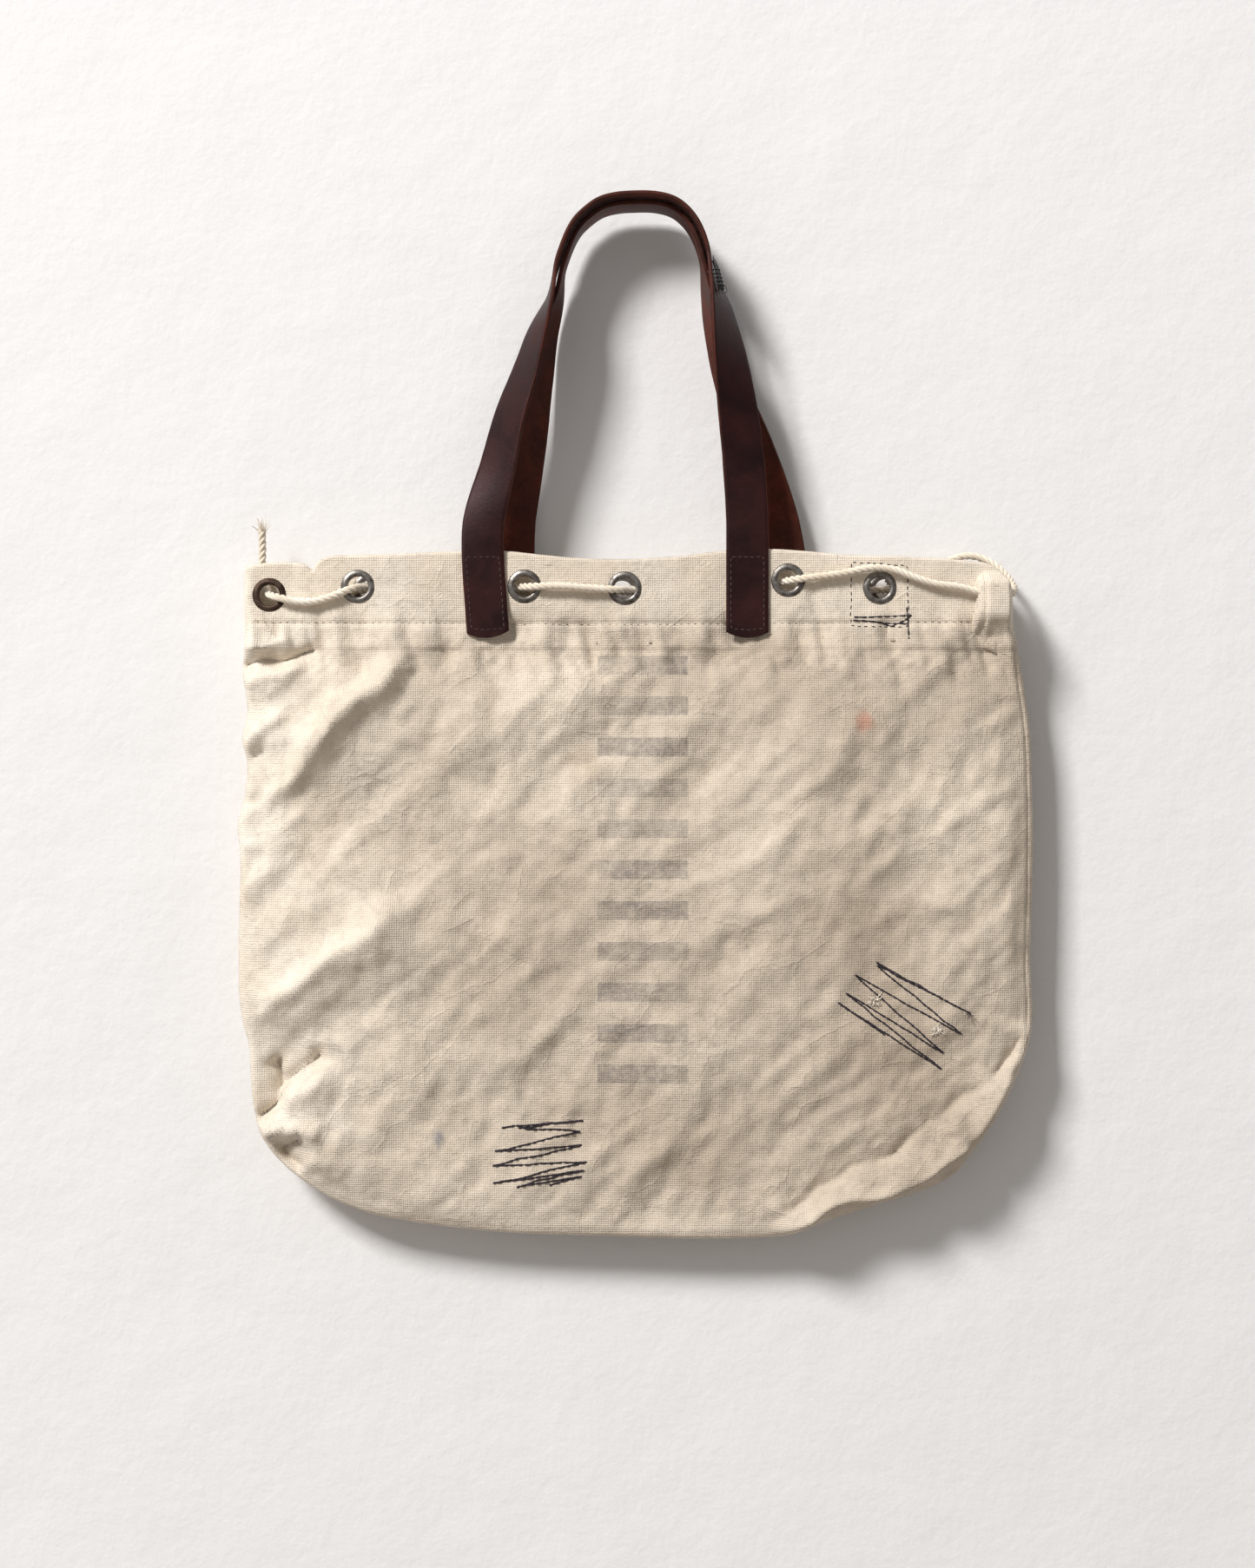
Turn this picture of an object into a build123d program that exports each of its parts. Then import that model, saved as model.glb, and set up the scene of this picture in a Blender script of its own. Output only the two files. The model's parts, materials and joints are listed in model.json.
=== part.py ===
from build123d import *
import math
import os

# A canvas mail sack reworked as a tote: two leather strap handles sewn to the mouth hem, a cotton
# drawstring threaded through grommets, and mended patches. The sack hangs by its handle arches.
# Millimetres. +X is the sack's right seen from its front, -Y is its front, +Z is up.
# The origin is the underside of the two handle arches, midway between them, where they hang.

# Sack
mouth_z = -211.6
hem_height = 57.0
hem_left = -235.3
hem_right = 219.5
hem_roll = 2.5             # how far the hem's two ends bulge sideways
body_roll = 5.0            # the same below the hem
hem_y = 12.0               # outer face of the flat hem
canvas = 1.4
hem_thick = 2 * canvas     # the mouth edge is folded over once
hem_bottom_z = mouth_z - hem_height
sack_bottom_z = -623.0

# Outline of the hanging sack below the hem: height, left edge, right edge, half depth at the two
# side rolls and half depth at the middle. It is widest half way down and rounds in at the bottom.
stations = [
    (hem_bottom_z, hem_left, hem_right, hem_y, hem_y),
    (-330.0, -235.0, 234.0, 11.0, 17.0),
    (-430.0, -239.0, 239.5, 9.0, 20.0),
    (-510.0, -236.0, 236.0, 7.5, 17.0),
    (-570.0, -219.0, 204.0, 5.0, 11.0),
    (-603.0, -174.0, 145.0, 4.2, 7.0),
    (-618.0, -94.0, 101.0, 3.6, 5.0),
    (sack_bottom_z, -30.0, 84.0, 3.2, 3.6),
]

# Grommets, numbered from the sack's left on the front and from its right on the back
flange_r = 10.15
hole_r = 6.35
sleeve_r = 7.35
flange_proud = 1.2
washer_thick = 1.0
front_grommets = [(-219.5, -235.5), (-166.4, -230.6), (-66.5, -230.4),
                  (-6.3, -231.5), (91.6, -226.7), (146.6, -231.1)]
back_grommets = [(204.0, -235.5), (152.0, -230.6), (54.0, -230.4),
                 (-8.0, -231.5), (-106.0, -226.7), (-161.0, -231.1)]
patched_grommet = 6        # on the front
grommet_patch_thick = 1.0

# Leather straps
strap_w = 25.4
strap_t = 2.4
tab_length = 49.6
fold_gap = 0.5             # each side of the mouth edge, where tab and handle part
left_tab_tilt = 3.9

# Thread
thread = 0.8
thread_proud = 0.5
stitch_length = 3.4
hem_stitch_z = -252.5

# Drawstring
rope_d = 4.6

os.makedirs("parts", exist_ok=True)


def finish(solid, name):
    solid.label = name
    export_step(solid, f"parts/{name}.step")


# ---------------------------------------------------------------- sack shell

def outline(left, right, side, belly, roll):
    """One closed cross-section of the sack: two long faces joined by a roll at each side."""
    with BuildLine() as line:
        for face in (-1, 1):
            if belly == side:
                Line((left + roll, face * side), (right - roll, face * side))
            else:
                ThreePointArc((left + roll, face * side), ((left + right) / 2, face * belly),
                              (right - roll, face * side))
        ThreePointArc((left + roll, -side), (left, 0), (left + roll, side))
        ThreePointArc((right - roll, -side), (right, 0), (right - roll, side))
    return line.line


def sack_body(inset, bottom_inset):
    """The closed body of the sack below the hem, its surface moved inwards by inset."""
    with BuildPart() as body:
        for z, left, right, side, belly in stations:
            height = z + bottom_inset if z == sack_bottom_z else z
            with BuildSketch(Plane.XY.offset(height)):
                with BuildLine():
                    add(outline(left + inset, right - inset, side - inset, belly - inset,
                                body_roll))
                make_face()
        loft()
    return body.part


def hem_band(inset, low, high):
    """The closed flat tube of the mouth between two heights, moved inwards by inset."""
    with BuildPart() as band:
        with BuildSketch(Plane.XY.offset(low)):
            with BuildLine():
                add(outline(hem_left + inset, hem_right - inset, hem_y - inset, hem_y - inset,
                            hem_roll))
            make_face()
        extrude(amount=high - low)
    return band.part


outer_body = sack_body(0, 0)
inner_body = sack_body(canvas, canvas)
lining_body = sack_body(canvas + 1.0, canvas + 1.0)
thread_body = sack_body(-thread_proud, -thread_proud)

# Front and back panels share the side folds and the bottom seam
for face, name in ((-1, "front_panel"), (1, "back_panel")):
    with BuildPart() as panel:
        add(outer_body)
        add(inner_body, mode=Mode.SUBTRACT)
        split(bisect_by=Plane.XZ, keep=Keep.TOP if face < 0 else Keep.BOTTOM)
    finish(panel.part, name)

# The hem is the mouth's double edge: a flat strip at the front and at the back, with a hole for
# each grommet, and the two ends where it turns round, a fold at the left and a seam at the right
strip_left = hem_left + hem_roll + hem_thick
strip_right = hem_right - hem_roll - hem_thick

for face, name, places in ((-1, "front_hem", front_grommets), (1, "back_hem", back_grommets)):
    with BuildPart() as hem:
        with BuildSketch(Plane.XZ.offset(-face * hem_y)):
            with Locations(((strip_left + strip_right) / 2, mouth_z - hem_height / 2)):
                Rectangle(strip_right - strip_left, hem_height)
            with Locations(*places):
                Circle(sleeve_r, mode=Mode.SUBTRACT)
        extrude(amount=face * hem_thick)
    finish(hem.part, name)

for cut, keep, name in ((strip_left, Keep.BOTTOM, "left_hem_fold"),
                        (strip_right, Keep.TOP, "right_hem_seam")):
    with BuildPart() as end:
        add(hem_band(0, hem_bottom_z, mouth_z))
        add(hem_band(hem_thick, hem_bottom_z, mouth_z), mode=Mode.SUBTRACT)
        split(bisect_by=Plane.YZ.offset(cut), keep=keep)
    finish(end.part, name)


# ---------------------------------------------------------------- grommets

def grommet(x, z, face, stack):
    """The flanged half: a domed ring on the outside and a sleeve through the cloth."""
    with BuildPart() as ring:
        with BuildSketch(Plane.XY):
            with BuildLine():
                Polyline((hole_r, -stack - washer_thick), (hole_r, flange_proud * 0.5))
                ThreePointArc((hole_r, flange_proud * 0.5), (hole_r + 1.1, flange_proud),
                              (hole_r + 2.2, flange_proud * 0.9))
                Line((hole_r + 2.2, flange_proud * 0.9), (flange_r - 0.5, 0.55))
                Line((flange_r - 0.5, 0.55), (flange_r, 0))
                Polyline((flange_r, 0), (sleeve_r, 0), (sleeve_r, -stack),
                         (sleeve_r - 0.1, -stack), (sleeve_r - 0.1, -stack - washer_thick),
                         (hole_r, -stack - washer_thick))
            make_face()
        revolve(axis=Axis.Y)
    return ring.part.moved(grommet_place(x, z, face))


def washer(x, z, face, stack):
    """The toothless ring that the sleeve is rolled over, on the inside."""
    with BuildPart() as ring:
        with BuildSketch(Plane.XY):
            with BuildLine():
                Polyline((sleeve_r, -stack), (flange_r, -stack), (flange_r, -stack - 0.5))
                ThreePointArc((flange_r, -stack - 0.5), (flange_r - 1.3, -stack - washer_thick),
                              (sleeve_r, -stack - washer_thick * 0.9))
                Line((sleeve_r, -stack - washer_thick * 0.9), (sleeve_r, -stack))
            make_face()
        revolve(axis=Axis.Y)
    return ring.part.moved(grommet_place(x, z, face))


def grommet_place(x, z, face):
    """Rings are made about the Y axis with +Y outwards; the front ones turn to face -Y."""
    return Location((x, face * hem_y, z), (0, 0, 180 if face < 0 else 0))


for side, face, places in (("front", -1, front_grommets), ("back", 1, back_grommets)):
    for number, (x, z) in enumerate(places, 1):
        patched = side == "front" and number == patched_grommet
        stack = hem_thick + (grommet_patch_thick if patched else 0)
        finish(grommet(x, z, face, stack), f"{side}_grommet_{number}")
        finish(washer(x, z, face, stack), f"{side}_washer_{number}")


# ---------------------------------------------------------------- strap tabs

def tab_plane(x, face, tilt):
    """Plane of a tab's outer face: its Y runs up the strap, its Z points away from the sack."""
    turn = math.radians(tilt)
    across = Vector(-face * math.cos(turn), 0, -face * math.sin(turn))
    return Plane(origin=(x, face * (hem_y + strap_t), mouth_z - fold_gap), x_dir=across,
                 z_dir=(0, face, 0))


def strap_tab(plane):
    """The sewn end of a strap, square at the mouth and rounded at its lower end."""
    half = strap_w / 2
    with BuildPart() as tab:
        with BuildSketch(plane):
            with BuildLine():
                Polyline((-half, -tab_length + 5), (-half, 0), (half, 0), (half, -tab_length + 5))
                ThreePointArc((-half, -tab_length + 5), (0, -tab_length),
                              (half, -tab_length + 5))
            make_face()
        extrude(amount=-strap_t)
        fillet(tab.edges().filter_by(lambda e: e.length < strap_t + 0.1).group_by(Axis.Z)[0], 2.0)
    return tab.part


def stitch_row(start, end):
    """Places of the stitches along a straight line, as a centre, an angle and a length."""
    run = math.dist(start, end)
    count = max(1, round(run / (stitch_length + 1.4)))
    angle = math.degrees(math.atan2(end[1] - start[1], end[0] - start[0]))
    for i in range(count):
        t = (i + 0.5) / count
        yield (start[0] + t * (end[0] - start[0]), start[1] + t * (end[1] - start[1])), angle


def box_stitching(plane):
    """A closed box of stitches, set in from the edges of a tab."""
    x = strap_w / 2 - 3
    top = -1.5
    low = -tab_length + 7
    corners = [(-x, top), (x, top), (x, low), (0, low - 1.2), (-x, low), (-x, top)]
    with BuildPart() as stitches:
        with BuildSketch(plane):
            for start, end in zip(corners, corners[1:]):
                for centre, angle in stitch_row(start, end):
                    with Locations(Location((*centre, 0), (0, 0, angle))):
                        SlotOverall(stitch_length, thread)
        extrude(amount=thread_proud)
    return stitches.part


front_feet = {"left": (-91.5, left_tab_tilt), "right": (67.3, 0)}
back_feet = {"left": (-74.0, 0), "right": (92.0, 0)}
for side, face, feet in (("front", -1, front_feet), ("back", 1, back_feet)):
    for hand, (x, tilt) in feet.items():
        plane = tab_plane(x, face, tilt)
        finish(strap_tab(plane), f"{side}_{hand}_tab")
        finish(box_stitching(plane), f"{side}_{hand}_tab_stitching")


# ---------------------------------------------------------------- handles
# A handle is one strap. It leaves its tabs flat and turns on edge as it rises, so that it stands
# across the hanger at the arch: the front strap outside, the back strap nested inside it. Each
# station is x, z, distance of its middle from the middle plane, and turn of its width in degrees.

front_left_leg = [(-91.3, -196.0, 13.4, 6), (-82.6, -158.6, 13.2, 30), (-75.4, -128.3, 13.0, 42),
                  (-65.3, -100.0, 12.6, 52), (-58.9, -77.0, 12.0, 62), (-50.9, -53.6, 9.4, 83)]
front_right_leg = [(66.9, -190.0, 13.4, 0), (63.6, -143.6, 13.4, 10), (60.2, -114.4, 13.2, 24),
                   (57.1, -93.1, 12.8, 38), (53.8, -72.6, 11.8, 54), (51.8, -61.0, 10.5, 62),
                   (49.0, -49.5, 8.6, 75), (46.4, -41.0, 6.8, 85)]
back_left_leg = [(-73.0, -186.0, 13.4, 6), (-67.6, -156.5, 13.2, 30), (-63.0, -128.4, 13.0, 42),
                 (-58.6, -100.0, 12.8, 52), (-54.4, -77.0, 12.2, 62), (-46.8, -53.6, 9.4, 83)]
back_right_leg = [(88.1, -194.0, 13.4, 5), (75.6, -151.8, 13.4, 30), (68.6, -133.0, 13.2, 38),
                  (61.0, -114.0, 13.0, 46), (53.4, -90.0, 12.8, 56), (48.0, -68.0, 11.6, 66),
                  (44.4, -52.0, 9.2, 78)]
front_arch = [(-47.9, -38.0), (-44.1, -26.5), (-40.6, -17.9), (-36.2, -10.5), (-29.5, -4.1),
              (-22.3, 1.0), (-12.0, 3.9), (0.0, 4.8), (13.0, 4.4), (24.4, 1.2), (34.4, -7.6),
              (41.1, -19.9), (44.6, -33.0)]
back_arch = [(-44.1, -38.0), (-40.7, -27.8), (-37.4, -19.6), (-33.4, -12.8), (-27.2, -7.0),
             (-20.9, -2.4), (-11.4, 0.4), (0.0, 1.2), (12.6, 0.9), (22.4, -1.8), (31.2, -9.4),
             (37.6, -21.0), (41.0, -33.0)]
arch_y = 5.0


def strap_plane(x, z, y, turn, rise, face):
    """Plane across a strap: its X runs across the strap's width and its Z along the strap."""
    level = Vector(rise.Z, 0, -rise.X)
    across = level * math.cos(math.radians(turn)) + Vector(0, face, 0) * math.sin(math.radians(turn))
    return Plane(origin=(x, face * y, z), x_dir=across, z_dir=rise)


def between(marks, i, t):
    """A station part of the way from one to the next, on the smooth curve through them all."""
    last = len(marks) - 1
    before, start, end, after = (Vector(*marks[max(0, min(last, i + k))][:3]) for k in (-1, 0, 1, 2))
    place = (start * 2 + (end - before) * t + (before * 2 - start * 5 + end * 4 - after) * t ** 2
             + (start * 3 - before - end * 3 + after) * t ** 3) * 0.5
    return (*place, marks[i][3] + (marks[i + 1][3] - marks[i][3]) * t)


def leg(foot, stations_up, arch, face):
    """The free strap from the mouth edge up to one end of the arch."""
    rise_end = Vector(arch[1][0] - arch[0][0], 0, arch[1][1] - arch[0][1]).normalized()
    marks = [(foot[0], mouth_z + height, hem_y + strap_t / 2, 0) for height in (fold_gap, 8)]
    marks += [*stations_up, (*arch[0], arch_y, 90)]
    path = marks[:2] + [between(marks, i, t) for i in range(1, len(marks) - 1) for t in (0.5, 1)]
    with BuildPart() as part:
        for i, (x, z, y, turn) in enumerate(path):
            if i == 0:
                rise = Vector(0, 0, 1)
            elif i == len(path) - 1:
                rise = rise_end
            else:
                rise = Vector(path[i + 1][0] - path[i - 1][0], 0, path[i + 1][1] - path[i - 1][1])
            with BuildSketch(strap_plane(x, z, y, turn, rise.normalized(), face)):
                Rectangle(strap_w, strap_t)
        loft(ruled=True)
    return part.part


def handle(feet, left_leg, right_leg, arch, face):
    """Both legs and the arch of one handle, as one solid."""
    start = Vector(arch[1][0] - arch[0][0], 0, arch[1][1] - arch[0][1]).normalized()
    end = Vector(arch[-1][0] - arch[-2][0], 0, arch[-1][1] - arch[-2][1]).normalized()
    with BuildPart() as part:
        with BuildLine() as line:
            Spline(*[(x, face * arch_y, z) for x, z in arch], tangents=(start, end))
        with BuildSketch(strap_plane(*arch[0], arch_y, 90, start, face)):
            Rectangle(strap_w, strap_t)
        sweep(path=line.wires()[0])
        add(leg(feet["left"], left_leg, arch, face))
        add(leg(feet["right"], right_leg, arch[::-1], face))
    return part.part


front_handle = handle(front_feet, front_left_leg, front_right_leg, front_arch, -1)
finish(front_handle, "front_handle")
finish(handle(back_feet, back_left_leg, back_right_leg, back_arch, 1), "back_handle")

# A repair in black thread at the right end of the front strap's arch: a bundle of long stitches
# that lies on its outer face, near its front edge
tie_x, tie_z, tie_y, tie_turn = front_right_leg[-1]
tie_rise = Vector(front_arch[-1][0] - front_right_leg[-2][0], 0,
                  front_arch[-1][1] - front_right_leg[-2][1]).normalized()
tie_plane = strap_plane(tie_x, tie_z, tie_y, tie_turn, tie_rise, -1)
with BuildPart() as tie:
    outward = tie_plane.y_dir if tie_plane.y_dir.X > 0 else tie_plane.y_dir * -1
    outer_face = Plane(origin=tie_plane.origin + outward * (strap_t / 2), x_dir=tie_plane.x_dir,
                       z_dir=outward)
    with BuildSketch(outer_face):
        with GridLocations(1.1, 1, 5, 1):
            SlotOverall(16, thread, rotation=90)
    extrude(amount=2 * thread_proud, both=True)
    add(front_handle, mode=Mode.SUBTRACT)
finish(tie.part, "front_grip_tie")


# ---------------------------------------------------------------- patches and mending

with BuildPart() as grommet_patch:
    px, pz = front_grommets[patched_grommet - 1]
    with BuildSketch(Plane.XZ.offset(hem_y - hem_thick)):
        with Locations((px, pz - 5)):
            Rectangle(38, 44)
        with Locations((px, pz)):
            Circle(sleeve_r, mode=Mode.SUBTRACT)
    extrude(amount=-grommet_patch_thick)
finish(grommet_patch.part, "grommet_patch")

patch_seam = [(129.6, -216.1), (162.8, -217.9), (163.7, -247.5), (163.7, -255.4), (129.2, -254.4),
              (129.6, -216.1)]
patch_seam_low = [(131.0, -249.4), (149.3, -248.2), (166.0, -247.8), (154.4, -254.0)]
with BuildPart() as patch_stitching:
    with BuildSketch(Plane.XZ.offset(hem_y)):
        for seam in (patch_seam, patch_seam_low):
            for start, end in zip(seam, seam[1:]):
                for centre, angle in stitch_row(start, end):
                    with Locations(Location((*centre, 0), (0, 0, angle))):
                        SlotOverall(stitch_length, thread)
    extrude(amount=thread_proud)
finish(patch_stitching.part, "grommet_patch_stitching")


def lining_patch(centre, width, height, tilt):
    """A patch inside the front panel, following the inner face of the cloth."""
    with BuildPart() as patch:
        with BuildSketch(Plane.XZ):
            with Locations(Location((*centre, 0), (0, 0, tilt))):
                RectangleRounded(width, height, 6)
        extrude(amount=40)
        add(inner_body, mode=Mode.INTERSECT)
        add(lining_body, mode=Mode.SUBTRACT)
    return patch.part


def darning(line):
    """Thread laid back and forth over the front panel, following its outer face."""
    with BuildPart() as darn:
        with BuildSketch(Plane.XZ):
            for start, end in zip(line, line[1:]):
                angle = math.degrees(math.atan2(end[1] - start[1], end[0] - start[0]))
                middle = ((start[0] + end[0]) / 2, (start[1] + end[1]) / 2)
                with Locations(Location((*middle, 0), (0, 0, angle))):
                    SlotOverall(math.dist(start, end) + thread, thread)
        extrude(amount=40)
        add(thread_body, mode=Mode.INTERSECT)
        add(outer_body, mode=Mode.SUBTRACT)
    return darn.part


lower_darn = [(-80.2, -555.4), (-31.1, -551.0), (-70.0, -555.5), (-32.7, -557.6), (-84.4, -569.9),
              (-31.9, -565.9), (-86.1, -578.2), (-29.3, -575.4), (-85.5, -589.0), (-30.6, -580.5),
              (-71.7, -590.3), (-31.4, -584.2), (-52.4, -590.0)]
side_darn = [(144.6, -455.9), (200.6, -486.7), (144.6, -457.5), (195.6, -499.3), (131.3, -463.2),
             (185.0, -510.6), (125.7, -473.8), (183.7, -519.9), (120.7, -479.4), (149.6, -499.3)]
finish(lining_patch((-59.0, -571.0), 62, 46, 4), "lower_darn_patch")
finish(darning(lower_darn), "lower_darn_thread")
finish(lining_patch((160.0, -487.0), 88, 48, -36), "side_darn_patch")
finish(darning(side_darn), "side_darn_thread")


# ---------------------------------------------------------------- hem stitching

for face, name, feet in ((-1, "front_hem_stitching", front_feet),
                         (1, "back_hem_stitching", back_feet)):
    with BuildPart() as stitches:
        with BuildSketch(Plane.XZ.offset(-face * hem_y)):
            for (x, z), angle in stitch_row((hem_left + 8, hem_stitch_z), (hem_right - 8, hem_stitch_z)):
                mended = face < 0 and abs(x - front_grommets[patched_grommet - 1][0]) < 24
                if not mended and all(abs(x - foot[0]) > strap_w / 2 + 5 for foot in feet.values()):
                    with Locations((x, z)):
                        SlotOverall(stitch_length, thread)
        extrude(amount=-face * thread_proud)
    finish(stitches.part, name)


# ---------------------------------------------------------------- drawstring
# One cotton rope, threaded in and out of the grommets: from a frayed tail in the mouth at the
# left, along the front, round the right corner and back along the back. Its points lie 16 mm
# outside the middle plane where it runs outside the cloth and 5 mm where it runs inside.

route = [
    (-225.9, 2.5, -195.5), (-225.5, 4.0, -208.0), (-226.5, 3.0, -221.5),
    (-223.2, -5.0, -234.0), (-214.8, -16.2, -237.0),
    (-201.0, -16.6, -240.5), (-187.5, -16.4, -239.3),
    (-170.9, -16.2, -232.2), (-162.0, -5.0, -229.2),
    (-141.0, -4.6, -231.6), (-118.0, -4.4, -234.0), (-93.5, -4.6, -233.2),
    (-71.1, -5.0, -230.2), (-61.9, -16.2, -230.8),
    (-45.5, -16.6, -230.3), (-28.5, -16.5, -231.6),
    (-10.9, -16.2, -232.6), (-1.7, -5.0, -231.5),
    (19.5, -4.6, -233.2), (42.5, -4.4, -233.6), (65.0, -4.6, -230.8),
    (86.9, -5.0, -227.4), (96.0, -16.2, -226.4),
    (112.0, -16.4, -224.6), (127.0, -16.5, -222.4), (140.5, -16.6, -219.2), (153.0, -16.6, -220.0),
    (166.0, -16.6, -225.2), (179.5, -16.4, -229.6), (193.0, -16.6, -230.4), (206.0, -16.4, -234.4),
    (218.0, -16.0, -237.0), (227.5, -8.0, -235.0), (229.5, 3.0, -229.5), (226.0, 12.5, -221.5),
    (217.5, 17.5, -213.0), (205.0, 18.5, -208.6), (193.0, 18.0, -211.3), (183.0, 17.4, -218.4),
    (171.0, 16.6, -226.0),
    (156.6, 16.2, -230.4), (147.4, 5.0, -231.0),
    (126.0, 4.6, -233.4), (103.0, 4.4, -234.2), (80.5, 4.6, -232.0),
    (58.6, 5.0, -230.6), (49.4, 16.2, -230.4),
    (33.0, 16.6, -232.2), (15.5, 16.5, -231.0),
    (-3.4, 16.2, -232.0), (-12.6, 5.0, -231.2),
    (-34.0, 4.6, -233.4), (-57.0, 4.4, -233.2), (-79.5, 4.6, -230.0),
    (-101.4, 5.0, -226.8), (-110.6, 16.2, -227.0),
    (-126.0, 16.6, -229.8), (-141.0, 16.5, -232.6),
    (-156.4, 16.2, -231.4), (-165.6, 5.0, -231.0),
    (-181.0, 4.6, -234.0), (-194.5, 4.8, -240.5), (-205.0, 5.0, -250.0),
]


def bend_radii(points):
    """The largest arc at each point that leaves a short straight in both of its runs."""
    radii = []
    for before, here, after in zip(points, points[1:], points[2:]):
        run_in = Vector(*here) - Vector(*before)
        run_out = Vector(*after) - Vector(*here)
        half_turn = math.radians(run_in.get_angle(run_out)) / 2
        radii.append(0.45 * min(run_in.length, run_out.length) / math.tan(half_turn))
    return radii


with BuildPart() as drawstring:
    with BuildLine() as rope_line:
        FilletPolyline(*route, radius=bend_radii(route))
    rope_path = rope_line.wires()[0]
    with BuildSketch(Plane(origin=rope_path @ 0, z_dir=rope_path % 0)):
        Circle(rope_d / 2)
    sweep(path=rope_path)
finish(drawstring.part, "drawstring")

print("bend radii", [round(r, 1) for r in bend_radii(route)])
print("rope length", round(rope_path.length, 1), "volume", round(drawstring.part.volume, 1),
      "section x length", round(math.pi * rope_d ** 2 / 4 * rope_path.length, 1))
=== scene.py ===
import json
import math

import bpy
import numpy as np
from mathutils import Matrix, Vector, noise
from mathutils.bvhtree import BVHTree

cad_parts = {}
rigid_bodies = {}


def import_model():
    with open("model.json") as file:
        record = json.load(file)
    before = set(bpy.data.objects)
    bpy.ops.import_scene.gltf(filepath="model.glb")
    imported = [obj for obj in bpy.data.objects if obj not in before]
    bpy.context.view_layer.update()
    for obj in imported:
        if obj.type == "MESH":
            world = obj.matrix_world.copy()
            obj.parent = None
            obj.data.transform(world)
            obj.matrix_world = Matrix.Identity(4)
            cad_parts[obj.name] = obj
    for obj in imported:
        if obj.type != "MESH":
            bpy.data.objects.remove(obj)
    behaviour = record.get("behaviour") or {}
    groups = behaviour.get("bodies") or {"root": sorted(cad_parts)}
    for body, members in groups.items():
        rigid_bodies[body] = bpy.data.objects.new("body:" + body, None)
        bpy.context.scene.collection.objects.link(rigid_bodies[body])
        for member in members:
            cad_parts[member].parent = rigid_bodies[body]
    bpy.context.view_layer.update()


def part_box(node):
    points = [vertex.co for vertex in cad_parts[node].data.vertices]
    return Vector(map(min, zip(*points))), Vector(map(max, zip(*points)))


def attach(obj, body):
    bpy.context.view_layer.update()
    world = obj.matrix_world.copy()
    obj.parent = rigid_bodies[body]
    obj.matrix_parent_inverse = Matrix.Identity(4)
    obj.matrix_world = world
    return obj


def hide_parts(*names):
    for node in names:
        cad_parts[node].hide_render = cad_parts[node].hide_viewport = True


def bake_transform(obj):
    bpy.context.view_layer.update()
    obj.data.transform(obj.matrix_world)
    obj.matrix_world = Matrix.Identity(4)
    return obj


# The looks of a canvas mail sack tote that hangs by its leather handles: +X is the sack's right,
# -Y its front and +Z up, from the underside of the two handle arches. Lengths are millimetres
# until mesh_object() turns them into metres. Only the stage and light, ROUTE and the sizes inside
# the materials are in metres from the start.

MM = 0.001
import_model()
random = np.random.default_rng(11)


def node_mm(node):
    """The centre of a CAD node, in millimetres."""
    low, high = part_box(node)
    return (np.array(low) + np.array(high)) / 2 / MM


# ---------------------------------------------------------------- camera, stage and light

CAMERA_X, CAMERA_Z = -4.7, -348.9
CAMERA_DISTANCE = 1574.0
FOCAL = 59.8               # on a 36 mm sensor along the picture's long side


def put(name, data):
    """A new object in the scene."""
    obj = bpy.data.objects.new(name, data)
    bpy.context.scene.collection.objects.link(obj)
    return obj


def make_camera():
    data = bpy.data.cameras.new("camera")
    data.lens = FOCAL
    data.sensor_width = 36
    camera = put("camera", data)
    camera.location = Vector((CAMERA_X, -CAMERA_DISTANCE, CAMERA_Z)) * MM
    camera.rotation_euler = (math.pi / 2, 0, 0)
    bpy.context.scene.camera = camera


def quad(name, corners, material):
    """One flat square of the stage."""
    mesh = bpy.data.meshes.new(name)
    mesh.from_pydata(corners, [], [(0, 1, 2, 3)])
    mesh.materials.append(material)
    obj = put(name, mesh)


def make_stage():
    paint, n, shader, place = new_material("wall_paint", {"Base Color": (0.855, 0.846, 0.84),
                                                          "Roughness": 0.9})
    grain = add_noise(n, place, 210, 6, 0.65)
    trowel = add_noise(n, place, 14, 5, 0.6)
    add_bumps(n, shader, (grain, 0.14, 0.0022), (trowel, 0.16, 0.012))
    # the wall is clear from behind, so that the sack shows there
    behind = add_node(n, "NewGeometry").outputs["Backfacing"]
    clear = add_node(n, "BsdfTransparent").outputs[0]
    mix = add_node(n, "MixShader")
    for socket, value in zip(mix.inputs, (behind, shader.outputs[0], clear)):
        feed(n, socket, value)
    feed(n, n.nodes["Material Output"].inputs["Surface"], mix.outputs[0])
    ground = new_material("floor_paint", {"Base Color": (0.22, 0.2, 0.185), "Roughness": 0.8})[0]
    wall_y, floor_z, wall_top, reach, depth = 0.0265, -1.02, 1.6, 3.0, 4.0
    quad("wall", [(-reach, wall_y, floor_z), (reach, wall_y, floor_z),
                  (reach, wall_y, wall_top), (-reach, wall_y, wall_top)], paint)
    quad("floor", [(-reach, -depth, floor_z), (reach, -depth, floor_z),
                   (reach, depth, floor_z), (-reach, depth, floor_z)], ground)


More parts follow.
